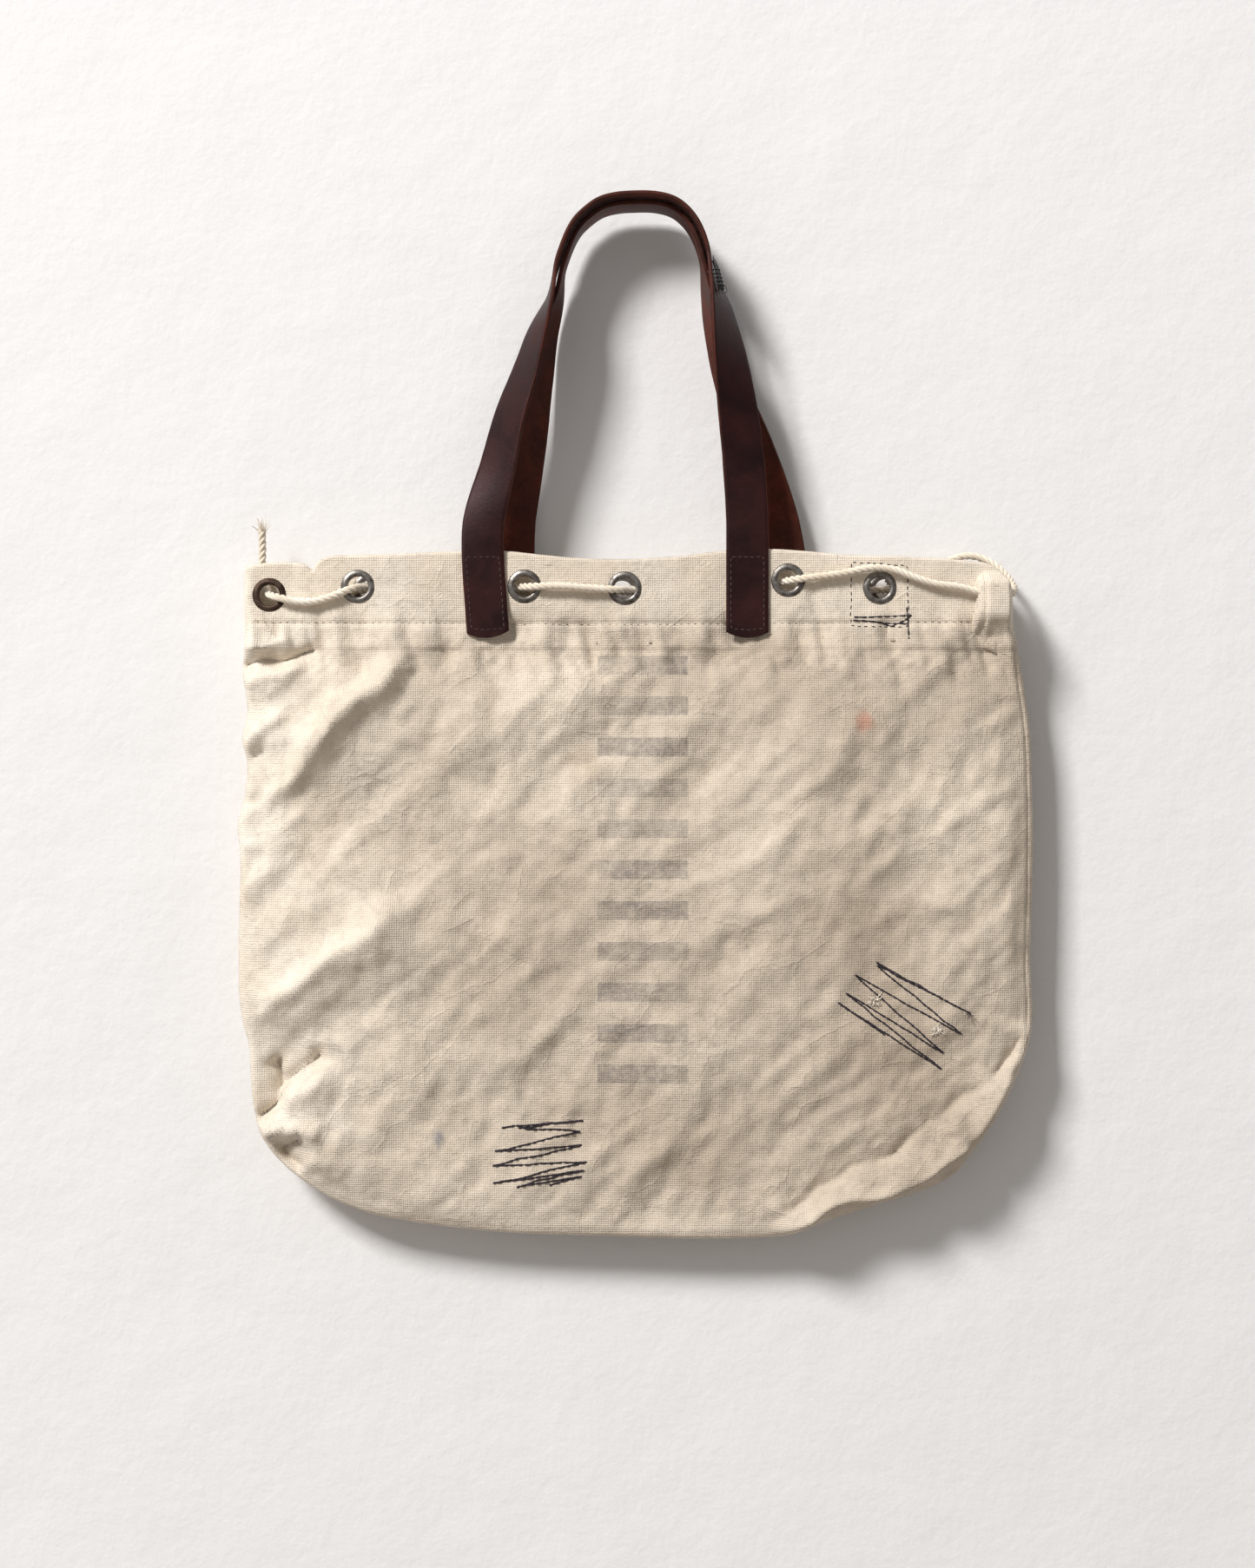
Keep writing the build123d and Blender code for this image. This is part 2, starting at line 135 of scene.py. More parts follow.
def make_light():
    """A dim, even room and one large lamp at the upper left."""
    scene = bpy.context.scene
    scene.view_settings.view_transform = "Standard"
    world = bpy.data.worlds.new("room")
    world.use_nodes = True
    room = world.node_tree.nodes["Background"]
    room.inputs["Color"].default_value = (1.0, 0.985, 0.97, 1)
    room.inputs["Strength"].default_value = 0.34
    scene.world = world
    data = bpy.data.lights.new("key", "AREA")
    data.shape = "RECTANGLE"
    data.size = 1.8
    data.size_y = 1.8
    data.energy = 694
    data.color = (1, 0.982, 0.97)
    light = put("key", data)
    place, target = Vector((-3.9, -4.6, 4.5)), Vector((0, 0, -0.35))
    light.location = place
    light.rotation_euler = (target - place).to_track_quat("-Z", "Y").to_euler()


# ---------------------------------------------------------------- materials

def feed(tree, socket, value):
    """Links a socket to an output, or sets it to a number or a colour."""
    if isinstance(value, bpy.types.NodeSocket):
        tree.links.new(value, socket)
    else:
        socket.default_value = (*value, 1) if isinstance(value, tuple) else value


def add_node(tree, kind, **values):
    node = tree.nodes.new("ShaderNode" + kind)
    for name, value in values.items():
        feed(tree, node.inputs[name], value)
    return node


def new_material(name, settings):
    """A material, its node tree, its shader with these settings, and the place on the object."""
    material = bpy.data.materials.new(name)
    material.use_nodes = True
    tree = material.node_tree
    shader = tree.nodes["Principled BSDF"]
    for entry, value in settings.items():
        feed(tree, shader.inputs[entry], value)
    return material, tree, shader, add_node(tree, "TexCoord").outputs["Object"]


def add_noise(tree, place, scale, detail, roughness=0.5, distortion=0.0):
    return add_node(tree, "TexNoise", Vector=place, Scale=scale, Detail=detail, Roughness=roughness,
                    Distortion=distortion).outputs["Fac"]


def add_wave(tree, place, scale, direction, distortion):
    node = add_node(tree, "TexWave", Vector=place, Scale=scale, Distortion=distortion, Detail=1)
    node.bands_direction = direction
    return node.outputs["Fac"]


def add_math(tree, operation, a, b, clamp=False):
    node = add_node(tree, "Math")
    node.operation = operation
    node.use_clamp = clamp
    feed(tree, node.inputs[0], a)
    feed(tree, node.inputs[1], b)
    return node.outputs[0]


def add_ramp(tree, value, *stops):
    """Stops are (position, colour) pairs, a colour being one number or three."""
    node = add_node(tree, "ValToRGB", Fac=value)
    ramp = node.color_ramp
    while len(ramp.elements) < len(stops):
        ramp.elements.new(1)
    for element, (position, colour) in zip(ramp.elements, stops):
        element.position = position
        element.color = (*colour, 1) if isinstance(colour, tuple) else (colour,) * 3 + (1,)
    return node.outputs["Color"]


def add_mix(tree, factor, a, b, blend="MIX"):
    node = add_node(tree, "Mix")
    node.data_type = "RGBA"
    node.blend_type = blend
    for number, value in ((0, factor), (6, a), (7, b)):
        feed(tree, node.inputs[number], value)
    return node.outputs[2]


def add_bumps(tree, shader, *bumps):
    """Bumps are (height, strength, distance), each laid over those before it."""
    below = {}
    for height, strength, distance in bumps:
        node = add_node(tree, "Bump", Height=height, Strength=strength, Distance=distance, **below)
        below = {"Normal": node.outputs["Normal"]}
    feed(tree, shader.inputs["Normal"], below["Normal"])


# The printed bars, in metres: their sides, their ends, and their pitch with the inked share of it
INK_LEFT, INK_RIGHT = -0.0226, 0.0315
INK_TOP, INK_LOW = -0.272, -0.532
INK_PITCH, INK_SHARE = 0.0245, 0.46


def add_bars(tree, place, where):
    """Plain printed bars, one below another: 1 inside them."""
    split = add_node(tree, "SeparateXYZ", Vector=place)
    x, z = split.outputs["X"], split.outputs["Z"]
    down = add_math(tree, "DIVIDE", add_math(tree, "SUBTRACT", INK_TOP, z), INK_PITCH)
    share = add_math(tree, "FRACT", down, 0)
    bars = where
    for value, test, limit in ((share, "LESS_THAN", INK_SHARE), (z, "LESS_THAN", INK_TOP),
                               (z, "GREATER_THAN", INK_LOW), (x, "GREATER_THAN", INK_LEFT),
                               (x, "LESS_THAN", INK_RIGHT)):
        bars = add_math(tree, "MULTIPLY", bars, add_math(tree, test, value, limit))
    return bars


def add_creases(tree, place, scale, width):
    """A crumpled net of sharp creases: 1 along them and 0 between."""
    bend = add_noise(tree, place, scale * 1.4, 4, 0.6)
    shift = add_node(tree, "VectorMath")
    shift.operation = "MULTIPLY_ADD"
    feed(tree, shift.inputs[0], add_node(tree, "CombineXYZ", X=bend, Y=bend, Z=bend).outputs[0])
    shift.inputs[1].default_value = (0.9 / scale,) * 3
    feed(tree, shift.inputs[2], place)
    cells = add_node(tree, "TexVoronoi", Vector=shift.outputs[0], Scale=scale)
    cells.feature = "DISTANCE_TO_EDGE"
    line = add_ramp(tree, cells.outputs["Distance"], (0.0, 1.0), (width, 0.45), (width * 6, 0.0))
    present = add_ramp(tree, add_noise(tree, place, scale * 0.8, 3), (0.42, 0.0), (0.62, 1.0))
    return add_math(tree, "MULTIPLY", line, present)


def add_layer(tree, name):
    node = add_node(tree, "Attribute")
    node.attribute_name = name
    return node.outputs["Fac"]


def add_marks(tree, place, colour):
    """The colour with what the mesh's own layers mark on it: dirt, lighter patches, rust and print."""
    for name, tint in (("soil", (0.48, 0.395, 0.305)), ("bright", (0.93, 0.86, 0.75)),
                       ("rust", (0.47, 0.34, 0.22))):
        colour = add_mix(tree, add_layer(tree, name), colour, tint)
    broken = add_ramp(tree, add_noise(tree, place, 210, 7, 0.8), (0.34, 0.25), (0.60, 1.0))
    worn = add_ramp(tree, add_noise(tree, place, 17, 3, 0.5), (0.36, 0.5), (0.60, 1.0))
    bars = add_bars(tree, place, add_layer(tree, "front"))
    ink = add_math(tree, "ADD", add_layer(tree, "ink"), bars, True)
    printed = add_math(tree, "MULTIPLY", ink, add_math(tree, "MULTIPLY", broken, worn))
    colour = add_mix(tree, add_math(tree, "MULTIPLY", printed, 0.72), colour, (0.25, 0.22, 0.2))
    colour = add_mix(tree, add_layer(tree, "red"), colour, (0.62, 0.27, 0.18))
    return add_mix(tree, add_layer(tree, "blue"), colour, (0.16, 0.17, 0.23))


def canvas_material(name, clean, dirty, marked):
    """Worn cotton duck: a plain weave with blotchy dirt, and marks where marked is true."""
    material, n, shader, place = new_material(name, {
        "Roughness": 0.93, "Specular IOR Level": 0.18, "Sheen Weight": 0.12, "Sheen Roughness": 0.5})
    weave = add_math(n, "ADD", *(add_wave(n, place, 235, way, 1.6) for way in "XZ"))
    fibre = add_noise(n, place, 700, 4, 0.75)
    slub = add_noise(n, place, 130, 6, 0.75)
    blotch = add_noise(n, place, 7, 8, 0.62, 0.5)
    patchy = add_noise(n, place, 60, 10, 0.78, 0.3)
    grime = add_math(n, "ADD", add_math(n, "MULTIPLY", blotch, 0.45), add_math(n, "MULTIPLY", patchy, 0.55))
    between = tuple((a + b) / 2 for a, b in zip(clean, dirty))
    colour = add_ramp(n, grime, (0.36, clean), (0.52, between), (0.66, dirty))
    if marked:
        colour = add_marks(n, place, colour)
    creases = add_creases(n, place, 13, 0.05)
    small_creases = add_creases(n, place, 37, 0.03)
    # painted shade: the cloth's colour is darkened along the creases, standing in for the shade that falls
    # in them
    crease_shade = add_math(n, "ADD", creases, small_creases)
    for share, shade in ((0.12, add_ramp(n, crease_shade, (0.5, 1.0), (1.9, 0.72))),
                         (0.8, add_ramp(n, slub, (0.30, 0.78), (0.50, 1.0), (0.75, 1.1))),
                         (0.7, add_ramp(n, weave, (0.2, 0.84), (1.0, 1.04)))):
        colour = add_mix(n, share, colour, shade, "MULTIPLY")
    feed(n, shader.inputs["Base Color"], colour)
    add_bumps(n, shader, (weave, 0.4, 0.0005), (slub, 0.5, 0.0016), (patchy, 0.22, 0.004),
              (creases, 0.2, 0.0030), (small_creases, 0.28, 0.0014), (fibre, 0.16, 0.0004))
    return material


def leather_material(name, dark, light, roughness, grain_strength, coat):
    material, n, shader, place = new_material(name, {
        "Coat Weight": coat, "Coat Roughness": 0.42, "Specular IOR Level": 0.28,
        "Specular Tint": (1, 0.72, 0.74)})
    cloud = add_noise(n, place, 45, 6, 0.65, 0.3)
    feed(n, shader.inputs["Base Color"], add_ramp(n, cloud, (0.35, dark), (0.7, light)))
    rough = add_ramp(n, cloud, (0.3, roughness - 0.07), (0.7, roughness + 0.08))
    feed(n, shader.inputs["Roughness"], rough)
    pores = add_noise(n, place, 1500, 3, 0.6)
    wrinkle = add_noise(n, place, 330, 5, 0.7, 0.5)
    add_bumps(n, shader, (pores, grain_strength, 0.0002), (wrinkle, grain_strength, 0.0005))
    return material


def thread_material(name, dark, light, roughness):
    material, n, shader, place = new_material(name, {"Roughness": roughness, "Sheen Weight": 0.2})
    tone = add_noise(n, place, 60, 4, 0.6)
    feed(n, shader.inputs["Base Color"], add_ramp(n, tone, (0.3, dark), (0.72, light)))
    add_bumps(n, shader, (add_noise(n, place, 1400, 4, 0.7), 0.5, 0.0003))
    return material


def metal_material(name, worn, bright, roughness):
    material, n, shader, place = new_material(name, {"Metallic": 0.9})
    cloud = add_noise(n, place, 210, 7, 0.7, 0.4)
    feed(n, shader.inputs["Base Color"], add_ramp(n, cloud, (0.36, worn), (0.62, bright)))
    feed(n, shader.inputs["Roughness"], add_ramp(n, cloud, (0.3, roughness + 0.2), (0.7, roughness)))
    add_bumps(n, shader, (add_noise(n, place, 900, 4, 0.6), 0.25, 0.0002))
    return material


# ---------------------------------------------------------------- mesh helpers

def mesh_object(name, points, faces, materials):
    """A new mesh from points in millimetres. materials is one material or a list."""
    mesh = bpy.data.meshes.new(name)
    mesh.from_pydata((np.asarray(points, float) * MM).tolist(), [], faces)
    mesh.update()
    for material in materials if isinstance(materials, list) else [materials]:
        mesh.materials.append(material)
    mesh.shade_smooth()
    return put(name, mesh)


def thicken(obj, thickness):
    """Gives a sheet its thickness, half to each side."""
    solid = obj.modifiers.new("thickness", "SOLIDIFY")
    solid.thickness = thickness * MM
    solid.offset = 0


def layer(obj, name, values):
    """A number on each vertex, which a material reads by name."""
    attribute = obj.data.attributes.new(name, "FLOAT", "POINT")
    attribute.data.foreach_set("value", np.asarray(values, np.float32).ravel())


def grid_faces(rows, columns, wrap=False):
    """Quads of a grid of points stored row by row; wrap joins the last column to the first."""
    faces = []
    for r in range(rows - 1):
        for c in range(columns if wrap else columns - 1):
            d = (c + 1) % columns
            faces.append((r * columns + c, r * columns + d, (r + 1) * columns + d, (r + 1) * columns + c))
    return faces


def bell(x, width):
    """1 at 0, and falling off smoothly over width to each side."""
    return np.exp(-(x / width) ** 2)


def smoothstep(x, low, high):
    t = np.clip((np.asarray(x, float) - low) / (high - low), 0, 1)
    return t * t * (3 - 2 * t)


def unit(vector):
    """The same direction with length 1."""
    return vector / np.linalg.norm(vector)


def distances(line):
    """How far along a line each of its points is."""
    return np.concatenate([[0], np.cumsum(np.linalg.norm(np.diff(line, axis=0), axis=1))])


def directions(line):
    """The direction of a line at each of its points."""
    tangent = np.gradient(line, axis=0)
    return tangent / np.linalg.norm(tangent, axis=1)[:, None]


def points_at(line, run, at):
    """Points of a line at some distances along it, where run is its own points' distances."""
    return np.stack([np.interp(at, run, line[:, k]) for k in range(line.shape[1])], axis=-1)


def smooth_line(points, count, spacing=None):
    """Points along a smooth curve through the given ones, even unless spacing says where."""
    p = np.array(points, float)
    t = distances(p)
    slope = np.gradient(p, t, axis=0)
    fine = np.linspace(0, t[-1], 60 * len(p))
    i = np.clip(np.searchsorted(t, fine, side="right") - 1, 0, len(t) - 2)
    h = (t[i + 1] - t[i])[:, None]
    s = (fine - t[i])[:, None] / h
    line = (p[i] * (2 * s**3 - 3 * s**2 + 1) + slope[i] * h * (s**3 - 2 * s**2 + s)
            + p[i + 1] * (3 * s**2 - 2 * s**3) + slope[i + 1] * h * (s**3 - s**2))
    run = distances(line)
    at = np.linspace(0, 1, count) if spacing is None else spacing
    return points_at(line, run, at * run[-1])


def field(points, scale, seed, octaves=3, ridged=False):
    """Smooth noise about 0 at 2-D points, its largest waves scale millimetres long."""
    total = np.zeros(len(points))
    for octave in range(octaves):
        size = scale / 2**octave
        raw = np.array([noise.noise(Vector((x / size + seed, z / size - seed, seed * 0.37)))
                        for x, z in points])
        total += (0.5 - np.abs(raw) * 2 if ridged else raw) / 2**octave
    return total


def carried_frames(tangents, first):
    """Two directions square to each tangent, carried along without a twist."""
    side = np.cross(tangents[0], first)
    frames = []
    for t in tangents:
        side = unit(side - (side @ t) * t)
        frames.append((side, np.cross(t, side)))
    return frames


def end_caps(rows, around):
    """The two end faces of a tube whose points are stored ring by ring."""
    return [tuple(range(around - 1, -1, -1)), tuple((rows - 1) * around + k for k in range(around))]


def tube(line, radius, sides):
    """Points and faces of a round tube along a line, tapering where radius is a list."""
    line = np.asarray(line, float)
    radii = np.broadcast_to(radius, len(line))
    points = []
    for p, (side, other), r in zip(line, carried_frames(directions(line), (0.31, 0.22, 0.93)), radii):
        for k in range(sides):
            a = 2 * math.pi * k / sides
            points.append(p + r * (math.cos(a) * side + math.sin(a) * other))
    return points, grid_faces(len(line), sides, wrap=True) + end_caps(len(line), sides)


def loose_fibre(root, way, bend, radii, sides=5):
    """A short fibre from root along way, bent a little, with a radius for each of its points."""
    points = [root + way * t + bend * t * t for t in np.linspace(0, 1, len(radii))]
    return tube(points, radii, sides)


def gather(parts):
    """Joins several (points, faces) into one."""
    points, faces = [], []
    for p, f in parts:
        faces += [tuple(i + len(points) for i in face) for face in f]
        points += list(p)
    return points, faces


# ---------------------------------------------------------------- drawstring

ROPE_D = 4.6
STRANDS = 3
STRAND_OFFSET = 1.26       # from the rope's centreline to a strand's
STRAND_R = 1.14
STRAND_LAY = 12.0          # length of one turn of a strand
# The cord's route, in metres: a frayed tail in the mouth at the left, in and out of the front
# grommets, round the right corner and back along the back
ROUTE = [
    (-0.2259, 0.0025, -0.1955), (-0.2255, 0.004, -0.208), (-0.2265, 0.003, -0.2215),
    (-0.2232, -0.005, -0.234), (-0.2148, -0.0162, -0.237),
    (-0.201, -0.0166, -0.2405), (-0.1875, -0.0164, -0.2393),
    (-0.1709, -0.0162, -0.2322), (-0.162, -0.005, -0.2292),
    (-0.141, -0.0046, -0.2316), (-0.118, -0.0044, -0.234), (-0.0935, -0.0046, -0.2332),
    (-0.0711, -0.005, -0.2302), (-0.0619, -0.0162, -0.2308),
    (-0.0455, -0.0166, -0.2303), (-0.0285, -0.0165, -0.2316),
    (-0.0109, -0.0162, -0.2326), (-0.0017, -0.005, -0.2315),
    (0.0195, -0.0046, -0.2332), (0.0425, -0.0044, -0.2336), (0.065, -0.0046, -0.2308),
    (0.0869, -0.005, -0.2274), (0.096, -0.0162, -0.2264),
    (0.112, -0.0164, -0.2246), (0.127, -0.0165, -0.2224), (0.1405, -0.0166, -0.2192),
    (0.153, -0.0166, -0.22), (0.166, -0.0166, -0.2252), (0.1795, -0.0164, -0.2296),
    (0.193, -0.0166, -0.2304), (0.206, -0.0164, -0.2344),
    (0.218, -0.016, -0.237), (0.2275, -0.008, -0.235), (0.2295, 0.003, -0.2295),
    (0.226, 0.0125, -0.2215), (0.2175, 0.0175, -0.213), (0.205, 0.0185, -0.2086),
    (0.193, 0.018, -0.2113), (0.183, 0.0174, -0.2184), (0.171, 0.0166, -0.226),
    (0.1566, 0.0162, -0.2304), (0.1474, 0.005, -0.231),
    (0.126, 0.0046, -0.2334), (0.103, 0.0044, -0.2342), (0.0805, 0.0046, -0.232),
    (0.0586, 0.005, -0.2306), (0.0494, 0.0162, -0.2304),
    (0.033, 0.0166, -0.2322), (0.0155, 0.0165, -0.231),
    (-0.0034, 0.0162, -0.232), (-0.0126, 0.005, -0.2312),
    (-0.034, 0.0046, -0.2334), (-0.057, 0.0044, -0.2332), (-0.0795, 0.0046, -0.23),
    (-0.1014, 0.005, -0.2268), (-0.1106, 0.0162, -0.227),
    (-0.126, 0.0166, -0.2298), (-0.141, 0.0165, -0.2326),
    (-0.1564, 0.0162, -0.2314), (-0.1656, 0.005, -0.231),
    (-0.181, 0.0046, -0.234), (-0.1945, 0.0048, -0.2405), (-0.205, 0.005, -0.25),
]


def rope_centre():
    """The rope's centreline in millimetres, read from a smooth curve through its route."""
    curve = bpy.data.curves.new("rope_route", "CURVE")
    curve.dimensions = "3D"
    spline = curve.splines.new("NURBS")
    spline.points.add(len(ROUTE) - 1)
    for point, place in zip(spline.points, ROUTE):
        point.co = (*place, 1)
    spline.order_u = 3
    spline.use_endpoint_u = True
    spline.resolution_u = 14
    holder = bpy.data.objects.new("rope_route", curve)
    mesh = bpy.data.meshes.new_from_object(holder)
    line = np.array([v.co for v in mesh.vertices], float) / MM
    bpy.data.objects.remove(holder)
    bpy.data.curves.remove(curve)
    bpy.data.meshes.remove(mesh)
    return line


def even(line, step):
    """The same line with points about step apart, and its length."""
    run = distances(line)
    at = np.linspace(0, run[-1], int(run[-1] / step) + 1)
    return points_at(line, run, at), run[-1]


def twisted(line):
    """The rope's strands, laid round its centreline."""
    frames = carried_frames(directions(line), (0.2, 0.9, 0.4))
    run = distances(line)
    parts = []
    for s in range(STRANDS):
        path = []
        for p, (a, b), d in zip(line, frames, run):
            angle = 2 * math.pi * (s / STRANDS + d / STRAND_LAY)
            offset = STRAND_OFFSET * (1 + 0.07 * math.sin(d * 0.61 + s * 2.1))
            path.append(p + offset * (math.cos(angle) * a + math.sin(angle) * b))
        parts.append(tube(path, STRAND_R, 7))
    return parts


def make_fuzz(line):
    """Loose fibres along the rope, and its two unlaid ends."""
    fuzz = []
    for _ in range(150):
        i = random.integers(6, len(line) - 6)
        way = unit(random.normal(size=3))
        root = line[i] + way * ROPE_D * 0.42
        reach = random.uniform(1.2, 3.4)
        bend = random.normal(size=3) * 0.8
        fuzz.append(loose_fibre(root, way * reach, bend, [0.09, 0.08, 0.07, 0.06, 0.04], 4))
    for end, beyond, count in ((line[0], line[0] - line[5], 26), (line[-1], line[-1] - line[-6], 16)):
        way = unit(beyond)
        for _ in range(count):
            direction = unit(way + random.normal(size=3) * 0.34)
            start = end - way * 3 + random.normal(size=3) * 0.7
            reach = random.uniform(5, 12)
            bend = random.normal(size=3) * 1.6
            radii = [0.34, 0.33, 0.3, 0.27, 0.22, 0.17, 0.1]
            fuzz.append(loose_fibre(start, direction * reach, bend, radii))
    return fuzz


def make_rope():
    cotton = thread_material("cotton_rope", (0.74, 0.64, 0.50), (0.92, 0.85, 0.74), 0.85)
    line, length = even(rope_centre(), 1.1)
    rope = mesh_object("drawstring_rope", *gather(twisted(line)), cotton)
    fray = mesh_object("drawstring_frayed_ends", *gather(make_fuzz(line)), cotton)
    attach(rope, "sack")
    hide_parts("drawstring")
    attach(fray, "sack")


# ---------------------------------------------------------------- sack cloth

CLOTH = 1.2
HEM_Y = 12.0               # from the middle plane to the outside of the hem
LAYER_GAP = 1.7            # between the middles of the hem's two layers
STITCH_Z = -252.5
HEM_LOW_Z = -267.5
OUTER_MIDDLE = HEM_Y - CLOTH / 2
GROMMET_HOLE = 8.2         # radius left open in the cloth
GROMMET_HOLD = 9.5         # radius of the cloth that a grommet holds flat
TAB_HOLD = 18.0            # the same to each side of a strap's tab
PATCHED_X = 146.6          # the patched grommet

# Outline of the hanging sack, x and z: the mouth, the two sides from it down, and the bottom
TOP = [(-235.3, -219.5), (-223.9, -217.9), (-205.1, -217.4), (-197.5, -219.0), (-194.2, -222.6),
       (-190.0, -216.6), (-184.0, -213.8), (-170.8, -212.9), (-146.9, -212.2), (-103, -210.6),
       (-77, -210.6), (-56.4, -212.7), (-30.9, -214.8), (25, -213.7), (55.4, -210.1), (81, -209.3),
       (103, -210.6), (126.6, -212.7), (161.5, -213.7), (199, -216.3), (213.0, -218.6),
       (222.8, -226.7)]
LEFT = [(-235.3, -219.5), (-235.3, -262), (-236.4, -279.8), (-233.6, -306), (-236.6, -322),
        (-233.9, -335), (-236.2, -360), (-239.4, -372), (-238.2, -389), (-238.6, -430.6),
        (-239, -451.4), (-236.3, -493), (-232.8, -506), (-231.7, -524.7), (-229.1, -548),
        (-225.7, -560), (-218.7, -571), (-208.8, -581.4)]
BOTTOM = [(-208.8, -581.4), (-194.7, -591.8), (-184.3, -598), (-173.9, -602.7), (-162, -607.0),
          (-136, -612.4), (-94.4, -617.8), (-16.4, -621.4), (46, -623), (77.2, -622.2),
          (91.8, -620.9), (116.7, -611.9), (144.8, -602.7), (167.2, -595.9), (187.5, -587.1),
          (194.2, -582.4)]
RIGHT = [(222.8, -226.7), (226.6, -236), (227.2, -252.7), (229.2, -262), (230.9, -271),
         (234.3, -291.7), (237.9, -319.3), (238.9, -348.4), (239.5, -379.6), (238.9, -417.6),
         (237.9, -451.4), (237.4, -503.4), (233.7, -515.8), (224.9, -536.1), (217.1, -550.7),
         (207.2, -565.2), (194.2, -582.4)]

# Folds: x and z of the start and of the end, height, and reach on the left of that line and on
# its right. A positive height stands out from the sack.
FRONT_FOLDS = [
    # left side, running up towards the hem
    (-209, -347, -134, -268, 7.6, 8, 16), (-230, -369, -150, -273, 6.2, 7, 12),
    (-240, -327, -206, -309, 5.4, 6, 10), (-242, -280, -188, -264, -6.5, 4, 7),
    (-240, -292, -196, -276, 5.0, 6, 8), (-236, -268, -205, -258, 3.2, 5, 5),
    (-240, -335, -218, -329, -3.4, 4, 6), (-240, -366, -222, -357, -2.8, 4, 7),
    (-240, -386, -214, -380, 2.2, 5, 8), (-239, -420, -196, -360, 3.4, 10, 16),
    # lower left
    (-234, -490, -142, -422, 8.4, 10, 20), (-226, -520, -150, -478, -2.6, 12, 14),
    (-218, -514, -214, -533, -8.0, 4, 5), (-217, -534, -183, -508, -8.0, 4, 7),
    (-214, -543, -176, -516, 6.5, 6, 12), (-231, -550, -211, -535, -7.0, 4, 5),
    (-228, -562, -204, -552, 6.0, 5, 6), (-226, -553, -209, -547, 2.8, 4, 5),
    (-214, -572, -200, -565, -7.0, 4, 4), (-212, -571, -199, -581, -5.5, 4, 4),
    (-206, -555, -190, -562, 6.0, 5, 7), (-190, -562, -194, -584, 3.6, 6, 7),
    (-190, -590, -170, -556, 2.6, 10, 12), (-168, -545, -120, -600, 1.9, 16, 18),
    # lower right: a flat rim turns back from a ridge
    (84, -620, 172, -586, 8.5, 18, 5), (172, -586, 206, -566, 9.5, 21, 5),
    (206, -566, 232, -522, 9.5, 21, 5), (232, -522, 238, -494, 6.5, 14, 5),
    (92, -606, 142, -577, -3.8, 8, 8), (142, -577, 172, -554, -5.0, 8, 11),
    (172, -554, 210, -526, -5.0, 8, 11), (210, -526, 234, -498, -4.4, 7, 8),
    # creases on the flat of the front
    (-85.5, -283, -81, -322, -1.0, 5, 9), (-81, -322, -88, -362, -0.9, 5, 9),
    (43.9, -266, 44.6, -314, -0.9, 4, 7), (44.6, -314, 35, -332, -0.8, 4, 7),
    (137, -338, 141, -372, -0.8, 4, 6), (196, -408, 236, -452, 1.3, 7, 9),
    (232, -400, 198, -446, 1.2, 7, 9), (214, -296, 176, -330, 1.0, 7, 10),
    (205, -360, 232, -345, 1.3, 6, 9), (60, -430, 150, -400, 0.9, 18, 22),
    (-40, -470, 36, -560, 0.9, 20, 24), (90, -520, 190, -560, 1.2, 18, 20),
    (-150, -300, -40, -330, 0.8, 16, 18), (107, -224, 113, -251, -1.6, 3, 5),
    (113, -251, 117, -268, -1.4, 3, 5),
]
BACK_FOLDS = [
    (200, -350, 120, -270, 3.2, 9, 17), (236, -330, 200, -312, 3.0, 6, 10),
    (238, -430, 150, -370, 2.6, 10, 16), (-238, -300, -190, -268, -3.0, 6, 9),
    (-230, -480, -130, -430, 3.0, 12, 20), (-236, -390, -190, -350, 2.4, 8, 12),
    (-150, -600, -205, -548, 3.2, 10, 12), (150, -598, 212, -540, 3.2, 10, 12),
    (-60, -300, -66, -360, -1.0, 5, 9), (40, -270, 46, -330, -0.9, 5, 8),
    (10, -560, -50, -440, 1.0, 22, 24), (120, -540, 60, -420, 1.1, 22, 24),
]


def fold_height(points, folds, seed):
    """How far the folds push the cloth out."""
    bend = np.stack([field(points, 34, seed, 2), field(points, 34, seed + 5, 2)], axis=1)
    p = points + bend * 7
    total = np.zeros(len(p))
    for *ends, height, reach_left, reach_right in folds:
        a = np.array(ends[:2], float)
        run = np.array(ends[2:], float) - a
        t = ((p - a) @ run) / np.linalg.norm(run)**2
        inside = np.clip(t, 0, 1)
        gap = p - a - inside[:, None] * run
        across = np.linalg.norm(gap, axis=1)
        left = (run[0] * gap[:, 1] - run[1] * gap[:, 0]) > 0
        reach = np.where(left, reach_left, reach_right)
        profile = 1.35 * np.exp(-(across / reach) ** 1.12)
        fade = smoothstep(t, -0.12, 0.22) * smoothstep(1 - t, -0.12, 0.22)
        total += height * profile * fade
    return total


def edge_spacing(count, edge_share=0.035, finer=3.0, hem=0.0):
    """Places from 0 to 1, finer near both ends and over the first share that is hem."""
    t = np.linspace(0, 1, 2000)
    density = 1 + (finer - 1) * (np.exp(-t / edge_share) + np.exp(-(1 - t) / edge_share))
    density += 1.3 * (t < hem)
    total = np.concatenate([[0], np.cumsum((density[1:] + density[:-1]) / 2)])
    return np.interp(np.linspace(0, 1, count), total / total[-1], t)


